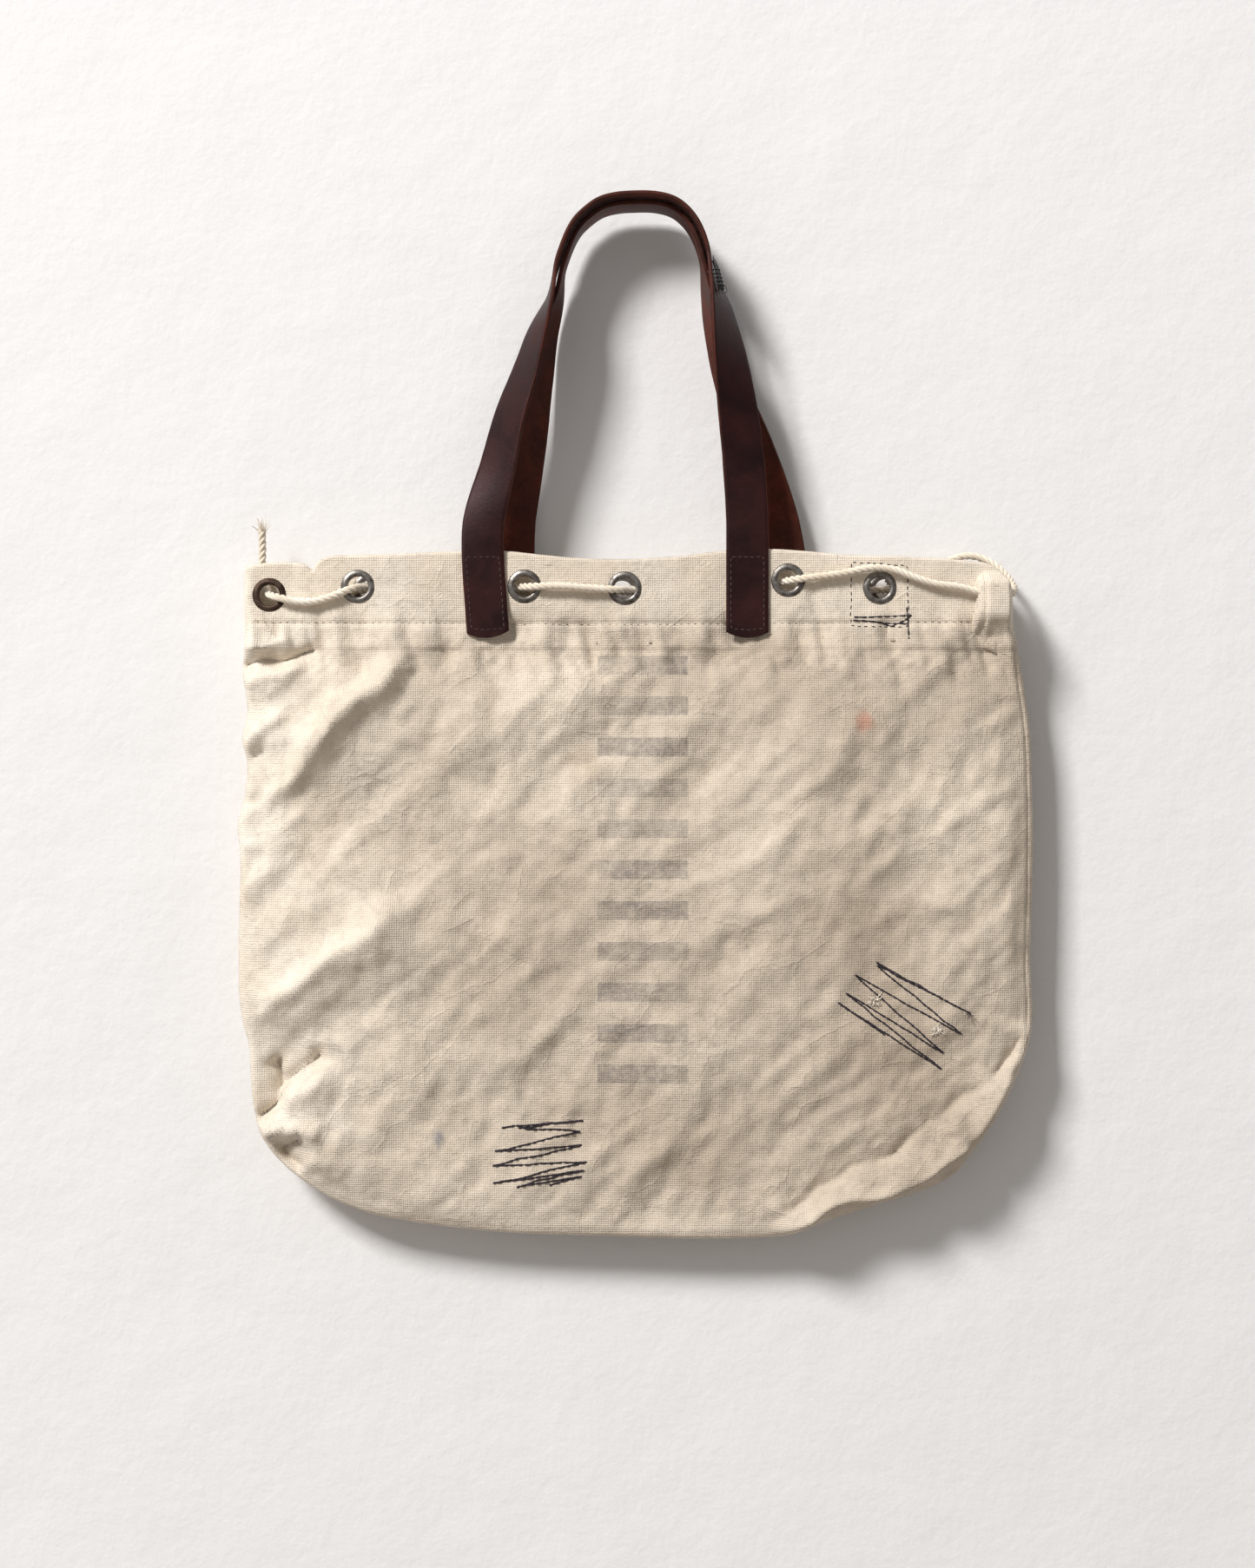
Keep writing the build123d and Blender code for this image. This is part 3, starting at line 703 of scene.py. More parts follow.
def fill_outline(columns, rows):
    """Points blended between the outline's four sides, row by row from the mouth down."""
    u = edge_spacing(columns)
    v = edge_spacing(rows, 0.03, 2.2, 0.17)
    top, bottom = (smooth_line(side, columns, u) for side in (TOP, BOTTOM))
    left, right = (smooth_line(side, rows, v) for side in (LEFT, RIGHT))
    a, b = u[None, :, None], v[:, None, None]
    corners = ((1 - a) * (1 - b) * top[0] + a * (1 - b) * top[-1]
               + (1 - a) * b * bottom[0] + a * b * bottom[-1])
    return ((1 - b) * top[None] + b * bottom[None] + (1 - a) * left[:, None]
            + a * right[:, None] - corners)


def distance_to(points, line):
    """How far each point is from a line."""
    best = np.full(len(points), 1e9)
    for start, way in zip(line, np.diff(line, axis=0)):
        t = np.clip(((points - start) @ way) / max(way @ way, 1e-9), 0, 1)
        best = np.minimum(best, np.linalg.norm(points - start - t[:, None] * way, axis=1))
    return best


def rounded(x):
    """A quarter circle's rise from 0 to 1."""
    return np.sqrt(np.clip(1 - (1 - np.clip(x, 0, 1)) ** 2, 0, 1))


def outward(points, folds, grommets, tabs, seed):
    """How far the cloth's middle stands from the sack's middle plane."""
    sides = np.vstack([smooth_line(LEFT, 90), smooth_line(BOTTOM, 110), smooth_line(RIGHT, 90)[::-1]])
    gap = distance_to(points, sides)
    x, z = points.T
    hem = smoothstep(z, -292, -262)
    flat = OUTER_MIDDLE * rounded(gap / 6.0)
    roll = 4.2 * rounded(gap / 4.5)
    depth = 6.5 + 6.0 * smoothstep(z, -560, -420) - 2.5 * smoothstep(z, -330, -270)
    body = roll + depth * (1 - np.exp(-gap / 34))
    height = hem * flat + (1 - hem) * body

    # broad slackness, creases and crumple, calmer on the double hem and held at the edges
    loose = (1 - 0.82 * smoothstep(z, -272, -256)) * smoothstep(gap, 1, 16)
    slant = points @ np.array([[0.268, -0.643], [0.225, 0.766]])
    steep = points @ np.array([[0.169, -0.906], [0.362, 0.423]])
    other = points @ np.array([[0.376, 0.342], [-0.137, 0.94]])
    relief = (field(points, 130, seed, 2) * 4.2 + field(slant, 48, seed + 3, 2) * 3.4
              + field(slant, 30, seed + 8, 3, ridged=True) * 2.0
              + field(steep, 27, seed + 16, 3, ridged=True) * 1.1
              + field(other, 30, seed + 21, 3, ridged=True) * 0.9
              + field(points, 10, seed + 12, 3, ridged=True) * 0.45)
    height += relief * loose
    height += fold_height(points, folds, seed + 20) * smoothstep(gap, -1, 4)
    # the right side seam and the bottom seam pull in just inside the edge
    seamed = np.maximum(smoothstep(x, 100, 170), 0.4 * smoothstep(-z, 540, 580))
    height -= 1.3 * bell(gap - 3.4, 1.1) * seamed * smoothstep(-z, 262, 272)

    # puckers along the hem's stitching, each side of it
    wave = field(np.stack([x + 0.25 * z, z * 0.22], axis=1), 9.5, seed + 31, 2) * 2.6
    wide = field(np.stack([x, z * 0.3], axis=1), 21, seed + 37, 2) * 2.2
    deep = bell(z - STITCH_Z + 5, 9) + 0.9 * bell(z - HEM_LOW_Z + 6, 11)
    puckers = wave * deep * 1.7 + wide * (deep * 1.5 + 0.5)
    height += puckers * smoothstep(gap, 0, 10) * smoothstep(-z, 216, 236)
    height -= 1.0 * bell(z - STITCH_Z, 1.5) * smoothstep(gap, 2, 7)
    height += 0.9 * smoothstep(z, HEM_LOW_Z - 1.2, HEM_LOW_Z + 0.8) * np.exp(-(z - HEM_LOW_Z) ** 2 / 60)

    # held flat where a grommet or a strap clamps the hem
    for cx, cz in grommets:
        near = bell(np.maximum(np.hypot(x - cx, z - cz) - GROMMET_HOLD, 0), 6)
        height = height * (1 - near) + OUTER_MIDDLE * near
    for cx in tabs:
        near = smoothstep(TAB_HOLD - np.abs(x - cx), 0, 5) * smoothstep(z, -272, -262)
        height = height * (1 - near) + np.minimum(height, OUTER_MIDDLE) * near
    return height


def sack_sheet(name, face, folds, grommets, tabs, seed, material, columns, rows):
    """One side of the sack: the outside, and the hem turned in over the mouth edge."""
    outline = fill_outline(columns, rows)
    flat = outline.reshape(-1, 2)
    height = outward(flat, folds, grommets, tabs, seed)
    if face < 0:
        height = corner_flap(flat, height)
    outside = np.stack([flat[:, 0], face * height, flat[:, 1]], axis=1).reshape(rows, columns, 3)
    turned = []
    drops = np.concatenate([[0.35, 1.6], np.linspace(4, 50, 18)])
    for d in drops[::-1]:
        line = outside[0].copy()
        for c in range(columns):
            below = np.interp(outline[0, c, 1] - d, outline[::-1, c, 1], outside[::-1, c, 1])
            line[c, 1] = below - face * (LAYER_GAP + 1.4 * smoothstep(d, 30, 48))
        line[:, 2] = outline[0, :, 1] - d
        turned.append(line)
    lip = outside[0].copy()
    lip[:, 1] -= face * LAYER_GAP / 2
    lip[:, 2] += LAYER_GAP / 2
    points = np.concatenate([*turned, lip, *outside])
    xz = points[:, [0, 2]]
    faces = []
    for corners in grid_faces(len(turned) + 1 + rows, columns):
        middle = xz[list(corners)].mean(0)
        if all(math.hypot(middle[0] - cx, middle[1] - cz) > GROMMET_HOLE for cx, cz in grommets):
            faces.append(corners if face < 0 else corners[::-1])
    sheet = mesh_object(name, points, faces, material)
    marks(sheet, xz, face)
    thicken(sheet, CLOTH)
    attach(sheet, "sack")
    return sheet


def corner_flap(points, height):
    """At the right end of the front the cloth folds forward over the drawstring."""
    x, z = points.T
    over = smoothstep(x, 207.5, 210.5) * smoothstep(227.5 - x, 0, 5)
    over *= smoothstep(z, -262, -246) * smoothstep(-222.5 - z, -2, 7)
    lifted = 20.6 + 0.5 * np.sin(z / 5)
    return height * (1 - over) + np.maximum(height, lifted) * over


def spot(points, centre, size, soft, warp, seed):
    """1 inside a soft, uneven blot and 0 outside it."""
    offset = (points - np.array(centre)) / np.array(size)
    r = np.linalg.norm(offset, axis=1) + warp * field(points, 14, seed, 3)
    return 1 - smoothstep(r, 1 - soft, 1 + soft * 0.4)


def marks(sheet, p, face):
    """Layers that the cloth's material reads: soil, bright, rust, ink, red and blue, from 0 to 1,
    and front, which is 1 on the front and 0 on the back."""
    x, z = p.T
    haze = field(p, 130, 3.3, 2)
    fine = field(p, 40, 9.1, 3)
    soil = 0.50 + 0.46 * haze + 0.16 * fine
    # the cloth is made lighter towards the left side and on the hem
    lighter_left = smoothstep(-150 - x, -40, 70)
    lighter_hem = smoothstep(z, -268, -240)
    clean_low = smoothstep(-z, 585, 622)
    soil = soil * (1 - 0.7 * lighter_left) * (1 - 0.6 * lighter_hem) * (1 - 0.5 * clean_low)
    bright = 0.5 * lighter_left * (0.6 + fine) + 0.28 * lighter_hem * (0.5 + fine)
    rust = 0.2 * spot(p, (-190, -572), (24, 16), 0.9, 0.6, 4)
    rust = rust + 0.32 * spot(p, (-33, -337), (13, 15), 0.9, 0.6, 6)
    red = blue = ink = np.zeros(len(p))
    if face < 0:
        ring = np.hypot(x + 138.6, z + 399.6)
        ink = 0.16 * bell(ring - 29, 1.4) * (0.6 + fine)
        red = 0.6 * spot(p, (135, -311.6), (5.5, 5.0), 0.9, 0.8, 7)
        blue = 0.6 * spot(p, (-118, -562), (2.6, 5), 0.6, 0.6, 8)
        soil = soil - 0.3 * spot(p, (196, -372), (44, 80), 0.9, 0.3, 2)
        soil = soil + 0.2 * spot(p, (20, -560), (110, 40), 0.9, 0.3, 5)
    layer(sheet, "front", np.full(len(p), float(face < 0)))
    for name, values in (("soil", soil), ("bright", bright), ("rust", rust), ("ink", ink),
                         ("red", red), ("blue", blue)):
        layer(sheet, name, np.clip(values, 0, 1))


def grommet_places(side):
    return [tuple(node_mm(f"{side}_grommet_{number}")[[0, 2]]) for number in range(1, 7)]


def tab_places(side):
    return [node_mm(f"{side}_{hand}_tab")[0] for hand in ("left", "right")]


def make_sack():
    cloth = canvas_material("canvas", (0.91, 0.81, 0.675), (0.73, 0.63, 0.505), True)
    front = sack_sheet("canvas_front", -1, FRONT_FOLDS, grommet_places("front"), tab_places("front"),
                       2.7, cloth, 232, 190)
    back = sack_sheet("canvas_back", 1, BACK_FOLDS, grommet_places("back"), tab_places("back"),
                      61.3, cloth, 200, 160)
    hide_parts("front_panel", "front_hem", "left_hem_fold", "right_hem_seam")
    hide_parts("back_panel", "back_hem")
    return front, back


# ---------------------------------------------------------------- straps

STRAP_W, STRAP_T = 25.4, 2.4
STRAP_Y = 13.2             # from the middle plane to the middle of a tab
TAB_Z = (-261.2, -240, -216)


def tab(*places):
    """The flat stations of a sewn tab, from its lower end up."""
    return [(x, z, STRAP_Y, 0) for x, z in zip(places, TAB_Z)]


# Each strap from the lower end of one tab over the arch to the other: x, z, distance from the
# middle plane and turn of its width in degrees. It turns on edge at the arch, where the front
# strap lies outside and the back strap is nested inside it. An arch is x and z alone, on edge.
FRONT_LEFT = tab(-88.1, -89.6, -91.2) + [
    (-91.3, -196, 13.5, 6), (-82.6, -158.6, 13.3, 30), (-75.4, -128.3, 13.1, 42),
    (-65.7, -100, 12.6, 52), (-58.9, -77, 12.0, 62), (-50.9, -53.6, 9.4, 83)]
FRONT_RIGHT = tab(67.1, 67.1, 67.1) + [
    (66.9, -190, 13.5, 0), (63.6, -143.6, 13.4, 10), (60.2, -114.4, 13.2, 24),
    (57.1, -93.1, 12.8, 38), (53.8, -72.6, 11.8, 54), (51.8, -61, 10.5, 62),
    (49.0, -49.5, 8.6, 75), (46.4, -41, 6.8, 85)]
BACK_LEFT = tab(-74.1, -74.1, -74.1) + [
    (-73.0, -186, 13.5, 6), (-67.6, -156.5, 13.2, 30), (-63.0, -128.4, 13.0, 42),
    (-58.6, -100, 12.8, 52), (-54.4, -77, 12.2, 62), (-46.8, -53.6, 9.4, 83)]
BACK_RIGHT = tab(92.1, 92.1, 91.8) + [
    (88.1, -194, 13.5, 5), (75.6, -151.8, 13.4, 30), (68.6, -133, 13.2, 38),
    (61.0, -114, 13.0, 46), (53.4, -90, 12.8, 56), (48.0, -68, 11.6, 66),
    (44.4, -52, 9.2, 78)]
FRONT_ARCH = [(-47.9, -38.0), (-44.1, -26.5), (-40.6, -17.9), (-36.2, -10.5), (-29.5, -4.1),
              (-22.3, 1.0), (-12.0, 3.9), (0.0, 4.8), (13.0, 4.4), (24.4, 1.2), (34.4, -7.6),
              (41.1, -19.9), (44.6, -33.0)]
BACK_ARCH = [(-44.1, -38.0), (-40.7, -27.8), (-37.4, -19.6), (-33.4, -12.8), (-27.2, -7.0),
             (-20.9, -2.4), (-11.4, 0.4), (0.0, 1.2), (12.6, 0.9), (22.4, -1.8), (31.2, -9.4),
             (37.6, -21.0), (41.0, -33.0)]
ARCH_Y = 5.0


def strap_section(width):
    """The strap's outline across its length as (across, outward) points, and a kind for each:
    0 grain side, 1 cut edge, 2 flesh side."""
    half, t = width / 2, STRAP_T / 2
    round_off = min(0.45, half * 0.5)
    across = np.linspace(-half + round_off, half - round_off, 15)
    edge = [(half - 0.12, t - 0.3), (half, 0.3), (half, -0.3), (half - 0.12, -t + 0.3)]
    loop = [(q, t) for q in across] + edge
    loop += [(q, -t) for q in across[::-1]] + [(-u, -v) for u, v in edge]
    return np.array(loop), [0] * len(across) + [1] * len(edge) + [2] * len(across) + [1] * len(edge)


def strap_path(left, arch, right, face):
    """Stations from tab to tab: place, turn of the width in degrees and distance along."""
    stations = left + [(x, z, ARCH_Y, 90) for x, z in arch] + right[::-1]
    p = np.array([(x, face * y, z, turn) for x, z, y, turn in stations], float)
    line = smooth_line(p[:, :3], 700)
    knots, run = distances(p[:, :3]), distances(line)
    turn = softened(np.interp(run / run[-1] * knots[-1], knots, p[:, 3]), 14, mode="edge")
    line = np.stack([softened(line[:, k], 7, mode="reflect", reflect_type="odd") for k in range(3)], axis=1)
    total = run[-1]
    ends = np.array([0.02, 0.25, 0.7, 1.4, 2.3, 3.4, 4.8])
    at = np.concatenate([ends, np.linspace(7, total - 7, int(total / 2.1)), total - ends[::-1]])
    return points_at(line, run, at), np.interp(at, run, turn), at, total


def softened(values, reach, **ends):
    """A running average over reach neighbours on each side, strongest in the middle."""
    kernel = np.hanning(2 * reach + 3)[1:-1]
    return np.convolve(np.pad(values, reach, **ends), kernel / kernel.sum(), "valid")


def end_width(distance):
    """The strap's width near its rounded end, by distance from the end."""
    sagitta = 3.4
    if distance >= sagitta:
        return STRAP_W
    radius = (STRAP_W**2 / 4 + sagitta**2) / (2 * sagitta)
    arc = 2 * math.sqrt(max(radius**2 - (radius - distance)**2, 0))
    return max(min(arc, STRAP_W), 3)


def make_strap(name, left, arch, right, face, materials, body):
    place, turn, at, total = strap_path(left, arch, right, face)
    points, rows = [], len(place)
    for p, t, a, d in zip(place, directions(place), np.radians(turn), at):
        level = unit(np.array([t[2], 0, -t[0]]))
        front = unit(face * np.cross(t, level))
        across = math.cos(a) * level + math.sin(a) * front
        out = math.cos(a) * front - math.sin(a) * level
        free = min(max((min(d, total - d) - 50) / 20, 0), 1)
        wave = noise.noise(Vector((d / 23, face * 3.1, 1.7)))
        ripple = noise.noise(Vector((d / 7, face * 5.3, 9.1)))
        width = min(end_width(d), end_width(total - d)) + free * (wave * 0.7 + ripple * 0.3)
        section, kinds = strap_section(width)
        bow = free * 0.35 * math.cos(a)
        points += [p + across * u + out * (v - bow * (u / (STRAP_W / 2)) ** 2) for u, v in section]
    around = len(kinds)
    faces = grid_faces(rows, around, wrap=True) + end_caps(rows, around)
    kind = np.array(kinds)
    slots = np.where((kind == 1) | (np.roll(kind, -1) == 1), 1, kind)
    if face < 0:
        faces = [f[::-1] for f in faces]
    strap = mesh_object(name, points, faces, materials)
    strap.data.polygons.foreach_set("material_index", np.tile(slots, rows - 1).tolist() + [1, 1])
    side = body.split("_")[0]
    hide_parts(body, f"{side}_left_tab", f"{side}_right_tab")
    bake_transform(strap)
    return strap


def make_straps():
    grain = leather_material("strap_grain", (0.0075, 0.0011, 0.001), (0.026, 0.0046, 0.004), 0.48, 0.3, 0.02)
    edge = leather_material("strap_edge", (0.030, 0.0075, 0.004), (0.085, 0.021, 0.011), 0.6, 0.5, 0.0)
    flesh = leather_material("strap_flesh", (0.036, 0.0075, 0.0035), (0.12, 0.027, 0.012), 0.55, 0.5, 0.0)
    leathers = [grain, edge, flesh]
    return [make_strap("front_strap", FRONT_LEFT, FRONT_ARCH, FRONT_RIGHT, -1, leathers, "front_handle"),
            make_strap("back_strap", BACK_LEFT, BACK_ARCH, BACK_RIGHT, 1, leathers, "back_handle")]


# ---------------------------------------------------------------- stitching

class Surface:
    """Finds where the front (face -1) or the back (face 1) of a piece lies, looking along Y."""

    def __init__(self, obj, face):
        self.face = face
        points = [v.co / MM for v in obj.data.vertices]
        self.tree = BVHTree.FromPolygons(points, [tuple(p.vertices) for p in obj.data.polygons])

    def at(self, x, z):
        start = Vector((x, self.face * 200, z))
        hit = self.tree.ray_cast(start, Vector((0, -self.face, 0)))[0]
        return np.array([x, self.face * HEM_Y, z] if hit is None else hit)


def laid_thread(surface, start, end, radius, lift):
    """One visible stitch: a short capsule that follows the surface and dips in at both ends."""
    points = []
    steps = np.linspace(0, 1, 7)
    for t in steps:
        p = surface.at(*(start + (end - start) * t))
        p[1] += surface.face * (lift + radius * 0.4) * math.sin(math.pi * min(max(t, 0.04), 0.96)) ** 0.5
        p[1] -= surface.face * radius * 0.8 * (abs(2 * t - 1) ** 6)
        points.append(p)
    taper = [radius * (0.55 + 0.45 * math.sin(math.pi * t) ** 0.5) for t in steps]
    return tube(points, taper, 6)


def stitch_line(surface, points, length, gap, radius, lift, jitter=0.25, skip=None):
    """Stitches along a line of (x, z) points, except where skip(x) is true."""
    p = np.array(points, float)
    run = distances(p)
    count = max(1, round(run[-1] / (length + gap)))
    parts = []
    for i in range(count):
        middle = (i + 0.5) / count * run[-1] + random.uniform(-jitter, jitter)
        half = length / 2 * random.uniform(0.85, 1.1)
        start, end = (points_at(p, run, middle + s * half) for s in (-1, 1))
        shift = random.normal(size=2) * jitter * 0.5
        if skip is None or not skip(start[0]):
            parts.append(laid_thread(surface, start + shift, end + shift, radius, lift))
    return parts


def laid_line(surface, points, radius, lift):
    """Thread that runs on over the surface, sinking a little at each stitch."""
    p = np.array(points, float)
    run = distances(p)
    line = []
    for d in np.arange(0, run[-1], 0.9):
        q = surface.at(*points_at(p, run, d))
        q[1] += surface.face * (lift + 0.3 * math.sin(d * 1.35))
        line.append(q)
    return tube(line, [radius * (1 + 0.14 * math.sin(k * 1.9)) for k in range(len(line))], 6)


def thread_object(name, parts, material, replaced=None):
    """One piece of thread that rides the sack, in the place of a CAD node where replaced names it."""
    obj = mesh_object(name, *gather(parts), material)
    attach(obj, "sack")
    if replaced:
        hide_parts(replaced)


def tab_box(x_top, x_low):
    """Corners of the box of stitches on one tab, from its upper left round and back."""
    inset = STRAP_W / 2 - 2.8
    top, low = -213.0, -255.0
    return [(x_top - inset, top), (x_top + inset, top), (x_low + inset, low),
            (x_low + inset - 1, low - 1.0), (x_low, low - 1.6),
            (x_low - inset + 1, low - 1.0), (x_low - inset, low), (x_top - inset, top)]


TAB_BOXES = {("front", "left"): (-91.4, -88.5), ("front", "right"): (67.1, 67.1),
             ("back", "left"): (-74.1, -74.1), ("back", "right"): (92.1, 92.1)}
HEM_SEAM = [(-228, STITCH_Z + 0.6), (-120, STITCH_Z), (0, STITCH_Z - 0.8), (130, STITCH_Z + 0.4),
            (206, STITCH_Z + 1)]


def make_tab_stitching(straps, thread):
    for side, strap, face in (("front", straps[0], -1), ("back", straps[1], 1)):
        surface = Surface(strap, face)
        for hand in ("left", "right"):
            parts = stitch_line(surface, tab_box(*TAB_BOXES[side, hand]), 2.3, 1.4, 0.27, 0.04, 0.1)
            thread_object(f"{side}_{hand}_tab_box", parts, thread,
                          f"{side}_{hand}_tab_stitching")


def make_hem_stitching(sheets, thread):
    """The hem's seam on both sides, left out under the straps and at the patched grommet."""
    for side, sheet, face in (("front", sheets[0], -1), ("back", sheets[1], 1)):
        covers = [(x, STRAP_W / 2 + 2) for x in tab_places(side)]
        if side == "front":
            covers.append((PATCHED_X, 18))

        def covered(x):
            return any(abs(x - middle) < reach for middle, reach in covers)
        parts = stitch_line(Surface(sheet, face), HEM_SEAM, 3.0, 1.3, 0.42, 0.2, 0.2, covered)
        thread_object(f"{side}_hem_seam", parts, thread, f"{side}_hem_stitching")


# Hand-sewn lines on the front, x and z: round and across the grommet's patch, and two darns
PATCH_SEAM = [(129.6, -216.1), (162.8, -217.9), (163.7, -247.5), (163.7, -255.4), (129.2, -254.4),
              (129.6, -216.1)]
PATCH_SEAM_LOW = [(131.0, -249.4), (149.3, -248.2), (166.0, -247.8), (154.4, -254.0),
                  (130.4, -250.6), (164, -253.2)]
PATCH_SEAM_SIDE = [(163.0, -243.0), (163.9, -262.0)]
LOWER_DARN = [(-80.2, -555.4), (-31.1, -551.0), (-70.0, -555.5), (-32.7, -557.6), (-84.4, -569.9),
              (-31.9, -565.9), (-86.1, -578.2), (-29.3, -575.4), (-85.5, -589.0), (-30.6, -580.5),
              (-71.7, -590.3), (-31.4, -584.2), (-52.4, -590.0)]
SIDE_DARN_END = (200.6, -486.7)
SIDE_DARN = [(144.6, -455.9), SIDE_DARN_END, (144.6, -457.5), (195.6, -499.3), (131.3, -463.2),
             (185.0, -510.6), (125.7, -473.8), (183.7, -519.9), (120.7, -479.4), (149.6, -499.3)]
HOLES = [((143.6, -478.8), 3.6), ((180.7, -496.0), 2.8)]     # centre and radius of the frayed holes
# Patches inside the front: piece, CAD node, centre, width and height, and turn in degrees
PATCHES = [("grommet_patch_cloth", "grommet_patch", (PATCHED_X, -236.1), (38, 44), 0),
           ("lower_patch_cloth", "lower_darn_patch", (-59.0, -571.0), (62, 46), 4),
           ("side_patch_cloth", "side_darn_patch", (160.0, -487.0), (88, 48), -36)]


def wander(points, amount):
    """The same line with small kinks, as a hand-sewn line has."""
    p = np.array(points, float)
    out = []
    for a, b in zip(p, p[1:]):
        count = max(2, int(np.linalg.norm(b - a) / 7))
        for i in range(count):
            out.append(a + (b - a) * i / count + random.normal(size=2) * amount)
    return out + [p[-1]]


def make_mending(front, dark, white):
    surface = Surface(front, -1)
    patch = (stitch_line(surface, wander(PATCH_SEAM, 0.3), 3.6, 0.5, 0.42, 0.3)
             + [laid_line(surface, wander(PATCH_SEAM_LOW, 0.5), 0.5, 0.5),
                laid_line(surface, wander(PATCH_SEAM_SIDE, 0.3), 0.5, 0.5)])
    thread_object("grommet_patch_seam", patch, dark, "grommet_patch_stitching")
    low = [laid_line(surface, wander(LOWER_DARN, 0.3), 0.62, 0.6)]
    thread_object("lower_darning", low, dark, "lower_darn_thread")
    side = [laid_line(surface, wander(SIDE_DARN, 0.22), 0.58, 0.6)] + knot(SIDE_DARN_END, surface, 5)
    thread_object("side_darning", side, dark, "side_darn_thread")
    tufts = []
    for centre, size in HOLES:
        for _ in range(34):
            angle = random.uniform(0, 2 * math.pi)
            far = size * random.uniform(0.1, 1.0)
            root = surface.at(centre[0] + far * math.cos(angle), centre[1] + far * math.sin(angle))
            way = random.normal(size=3) * (1, 0.4, 1)
            curl = random.normal(size=3) * 1.1
            arc = [root + way * t * 1.5 + curl * t * t - np.array([0, 0.25 + 0.9 * math.sin(math.pi * t), 0])
                   for t in np.linspace(0, 1, 6)]
            tufts.append(tube(arc, [0.26, 0.3, 0.3, 0.28, 0.24, 0.12], 5))
    thread_object("frayed_holes", tufts, white)


def knot(place, surface, count):
    """A small tuft of cut thread ends."""
    root = surface.at(*place)
    parts = []
    for _ in range(count):
        way = np.array([random.uniform(-1, 1), -random.uniform(0.5, 1.2), random.uniform(-1, 1)])
        curl = random.normal(size=3) * 1.4
        parts.append(loose_fibre(root, way * 3.4, curl, [0.32, 0.3, 0.27, 0.24, 0.2, 0.12]))
    return parts


def make_patches(front, lining):
    """Pieces of cloth laid against the inside of the front, one with a hole for its grommet."""
    inside = Surface(front, 1)
    columns, rows = 26, 20
    gap, grommet_up, hole_r = 1.25, 5.0, 8.6
    for name, node, centre, size, tilt in PATCHES:
        a = math.radians(tilt)
        points = []
        for v in (np.arange(rows) / (rows - 1) - 0.5) * size[1]:
            for u in (np.arange(columns) / (columns - 1) - 0.5) * size[0]:
                x = centre[0] + u * math.cos(a) - v * math.sin(a)
                z = centre[1] + u * math.sin(a) + v * math.cos(a)
                points.append(inside.at(x, z) + (0, gap, 0))
        faces = [f[::-1] for f in grid_faces(rows, columns)]
        if node == "grommet_patch":
            hole = centre[0], centre[1] + grommet_up
            middles = [np.mean([points[i] for i in f], 0)[[0, 2]] for f in faces]
            faces = [f for f, middle in zip(faces, middles) if math.hypot(*(middle - hole)) > hole_r]
        cloth = mesh_object(name, points, faces, lining)
        thicken(cloth, 0.9)
        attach(cloth, "sack")
        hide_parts(node)


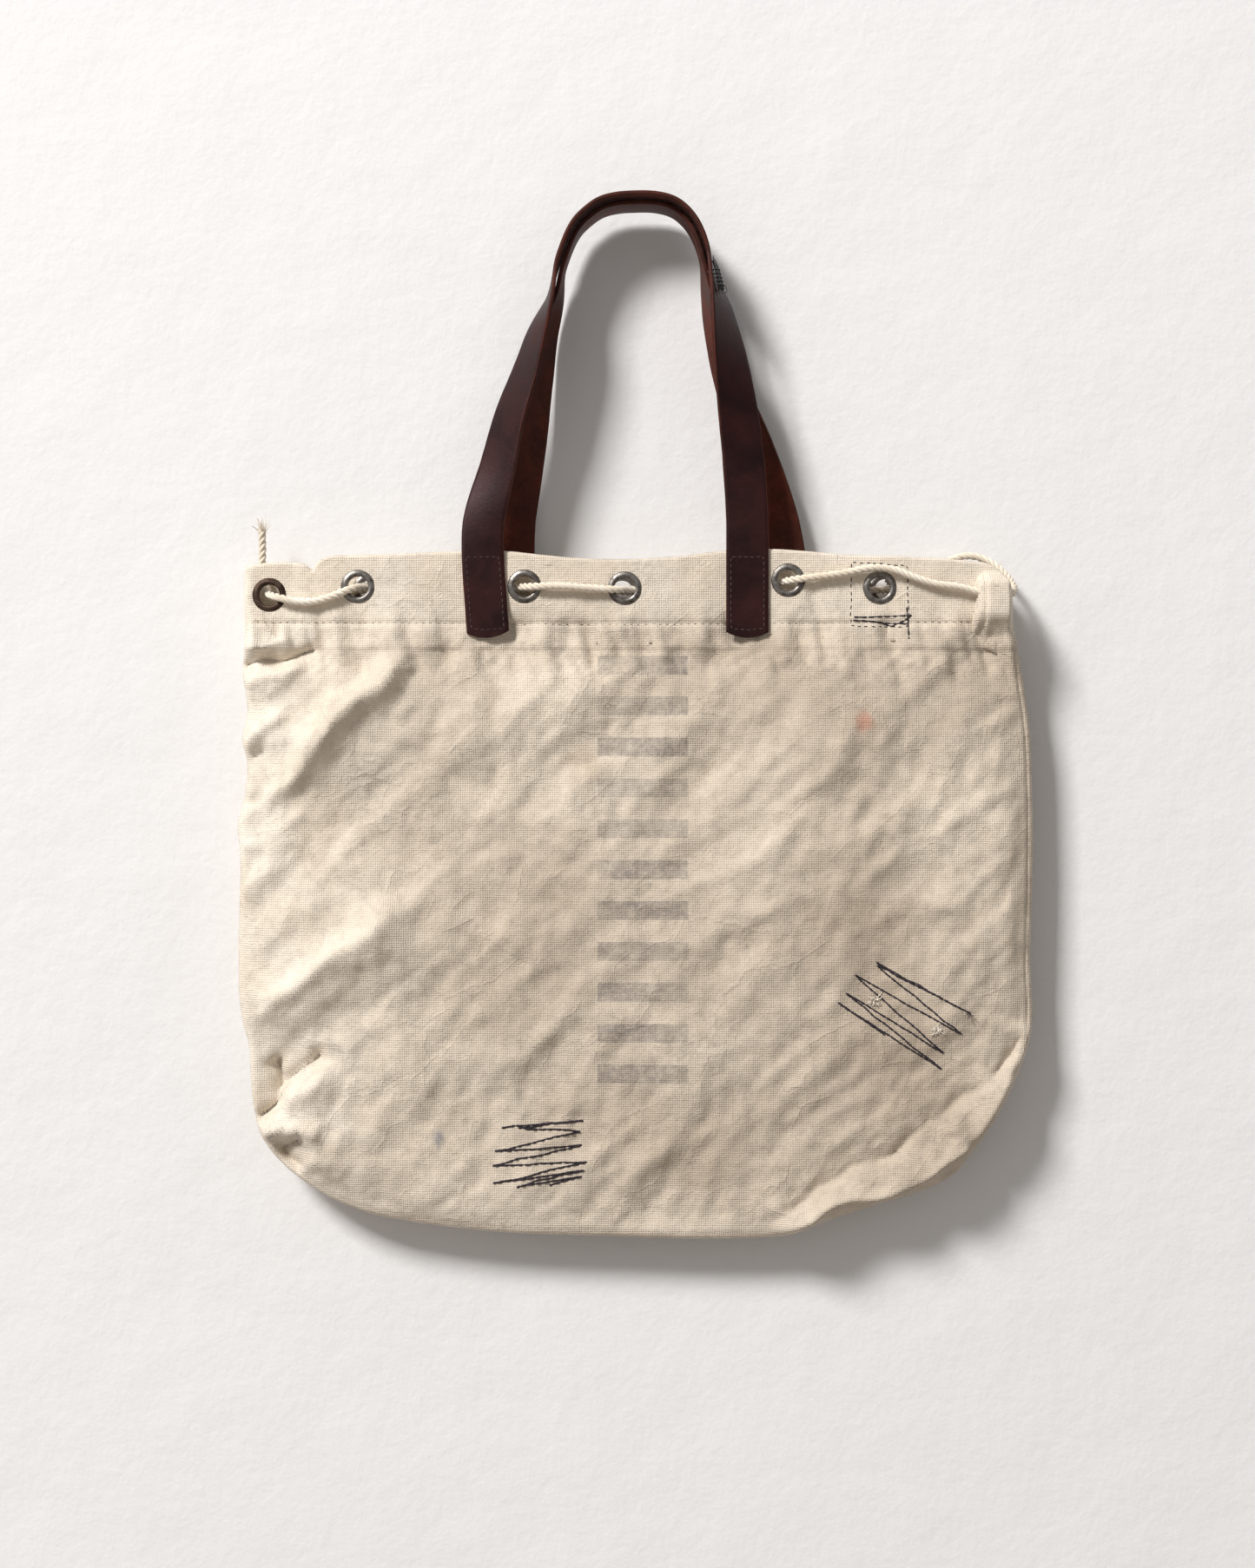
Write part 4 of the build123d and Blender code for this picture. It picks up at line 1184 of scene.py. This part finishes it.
def make_repair(dark):
    """Long black stitches at the right end of the front strap's arch, with loose ends."""
    parts = []
    low, high = np.array([51.6, -14.6, -53.0]), np.array([46.9, -15.4, -35.5])
    for i in range(9):
        shift = np.array([-1.7 + 0.42 * i, 0.35 * math.sin(i * 2.1), 0])
        a = low + shift * 0.9 + random.normal(size=3) * (0.3, 0.3, 0.7)
        b = high + shift * 0.35 + random.normal(size=3) * (0.2, 0.3, 0.6)
        bulge = np.array([0.5, -0.7, 0])
        points = [a + (b - a) * t + bulge * math.sin(math.pi * t) for t in np.linspace(0, 1, 8)]
        parts.append(tube(points, 0.4, 6))
    for i in range(5):
        centre = low + (high - low) * (0.12 + 0.13 * i)
        loop = [centre + np.array([2.0 * math.cos(a), -1.0 - 0.4 * math.sin(a), 1.1 * math.sin(a)])
                for a in np.linspace(0, math.pi, 8)]
        parts.append(tube(loop, 0.38, 6))
    curl = [low + np.array([1.2 + 2.0 * math.sin(t * 3.3), -0.6, 1.6 - 3.2 * t + 1.4 * math.cos(t * 5)])
            for t in np.linspace(0, 1, 12)]
    parts.append(tube(curl, 0.22, 5))
    for end, way in ((low, (0.4, -0.3, -1)), (low, (-0.5, -0.3, -1)), (high, (-0.2, -0.4, 1))):
        points = [end + np.array(way) * 2.4 * t + random.normal(size=3) * 0.25 * t
                  for t in np.linspace(0, 1, 6)]
        parts.append(tube(points, 0.26, 5))
    dot = np.array([43.9, -18.6, -43.2])
    parts.append(tube([dot + (0.9, 0, 0), dot, dot - (0.7, 0.2, -0.2)], [0.5, 0.75, 0.35], 7))
    tie = mesh_object("front_strap_repair", *gather(parts), dark)
    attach(tie, "front_handle")
    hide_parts("front_grip_tie")


# ---------------------------------------------------------------- CAD pieces that stay

def paint_nodes():
    """Zinc on the grommets and washers, whose names end in their number; the first is rusty."""
    zinc = metal_material("grommet_zinc", (0.075, 0.06, 0.05), (0.30, 0.285, 0.265), 0.36)
    dark_zinc = metal_material("grommet_rusty", (0.035, 0.02, 0.014), (0.11, 0.075, 0.055), 0.5)
    for obj in bpy.data.objects:
        for entry in obj.material_slots:
            if entry.material and obj.name.split(".")[0].endswith(tuple("123456")):
                entry.material = dark_zinc if obj.name.startswith("front_grommet_1") else zinc


# ---------------------------------------------------------------- the whole scene

make_camera()
make_rope()
make_stage()
make_light()
sheets = make_sack()
straps = make_straps()
# the hem's seam thread: pale cotton darkened with painted shade, standing in for the shadowed groove of the
# seam
beige_and_shade = thread_material("cotton_thread", (0.17, 0.125, 0.09), (0.30, 0.24, 0.18), 0.8)
tab_thread = thread_material("tab_thread", (0.022, 0.012, 0.012), (0.10, 0.06, 0.055), 0.7)
white = thread_material("frayed_cotton", (0.66, 0.58, 0.47), (0.88, 0.83, 0.74), 0.85)
violet = thread_material("darning_thread", (0.009, 0.004, 0.008), (0.026, 0.014, 0.024), 0.8)
black = thread_material("black_thread", (0.012, 0.011, 0.012), (0.04, 0.036, 0.036), 0.6)
lining = canvas_material("patch_canvas", (0.70, 0.61, 0.50), (0.52, 0.44, 0.35), False)
make_tab_stitching(straps, tab_thread)
make_hem_stitching(sheets, beige_and_shade)
make_mending(sheets[0], violet, white)
make_patches(sheets[0], lining)
make_repair(black)
paint_nodes()

bpy.context.view_layer.update()
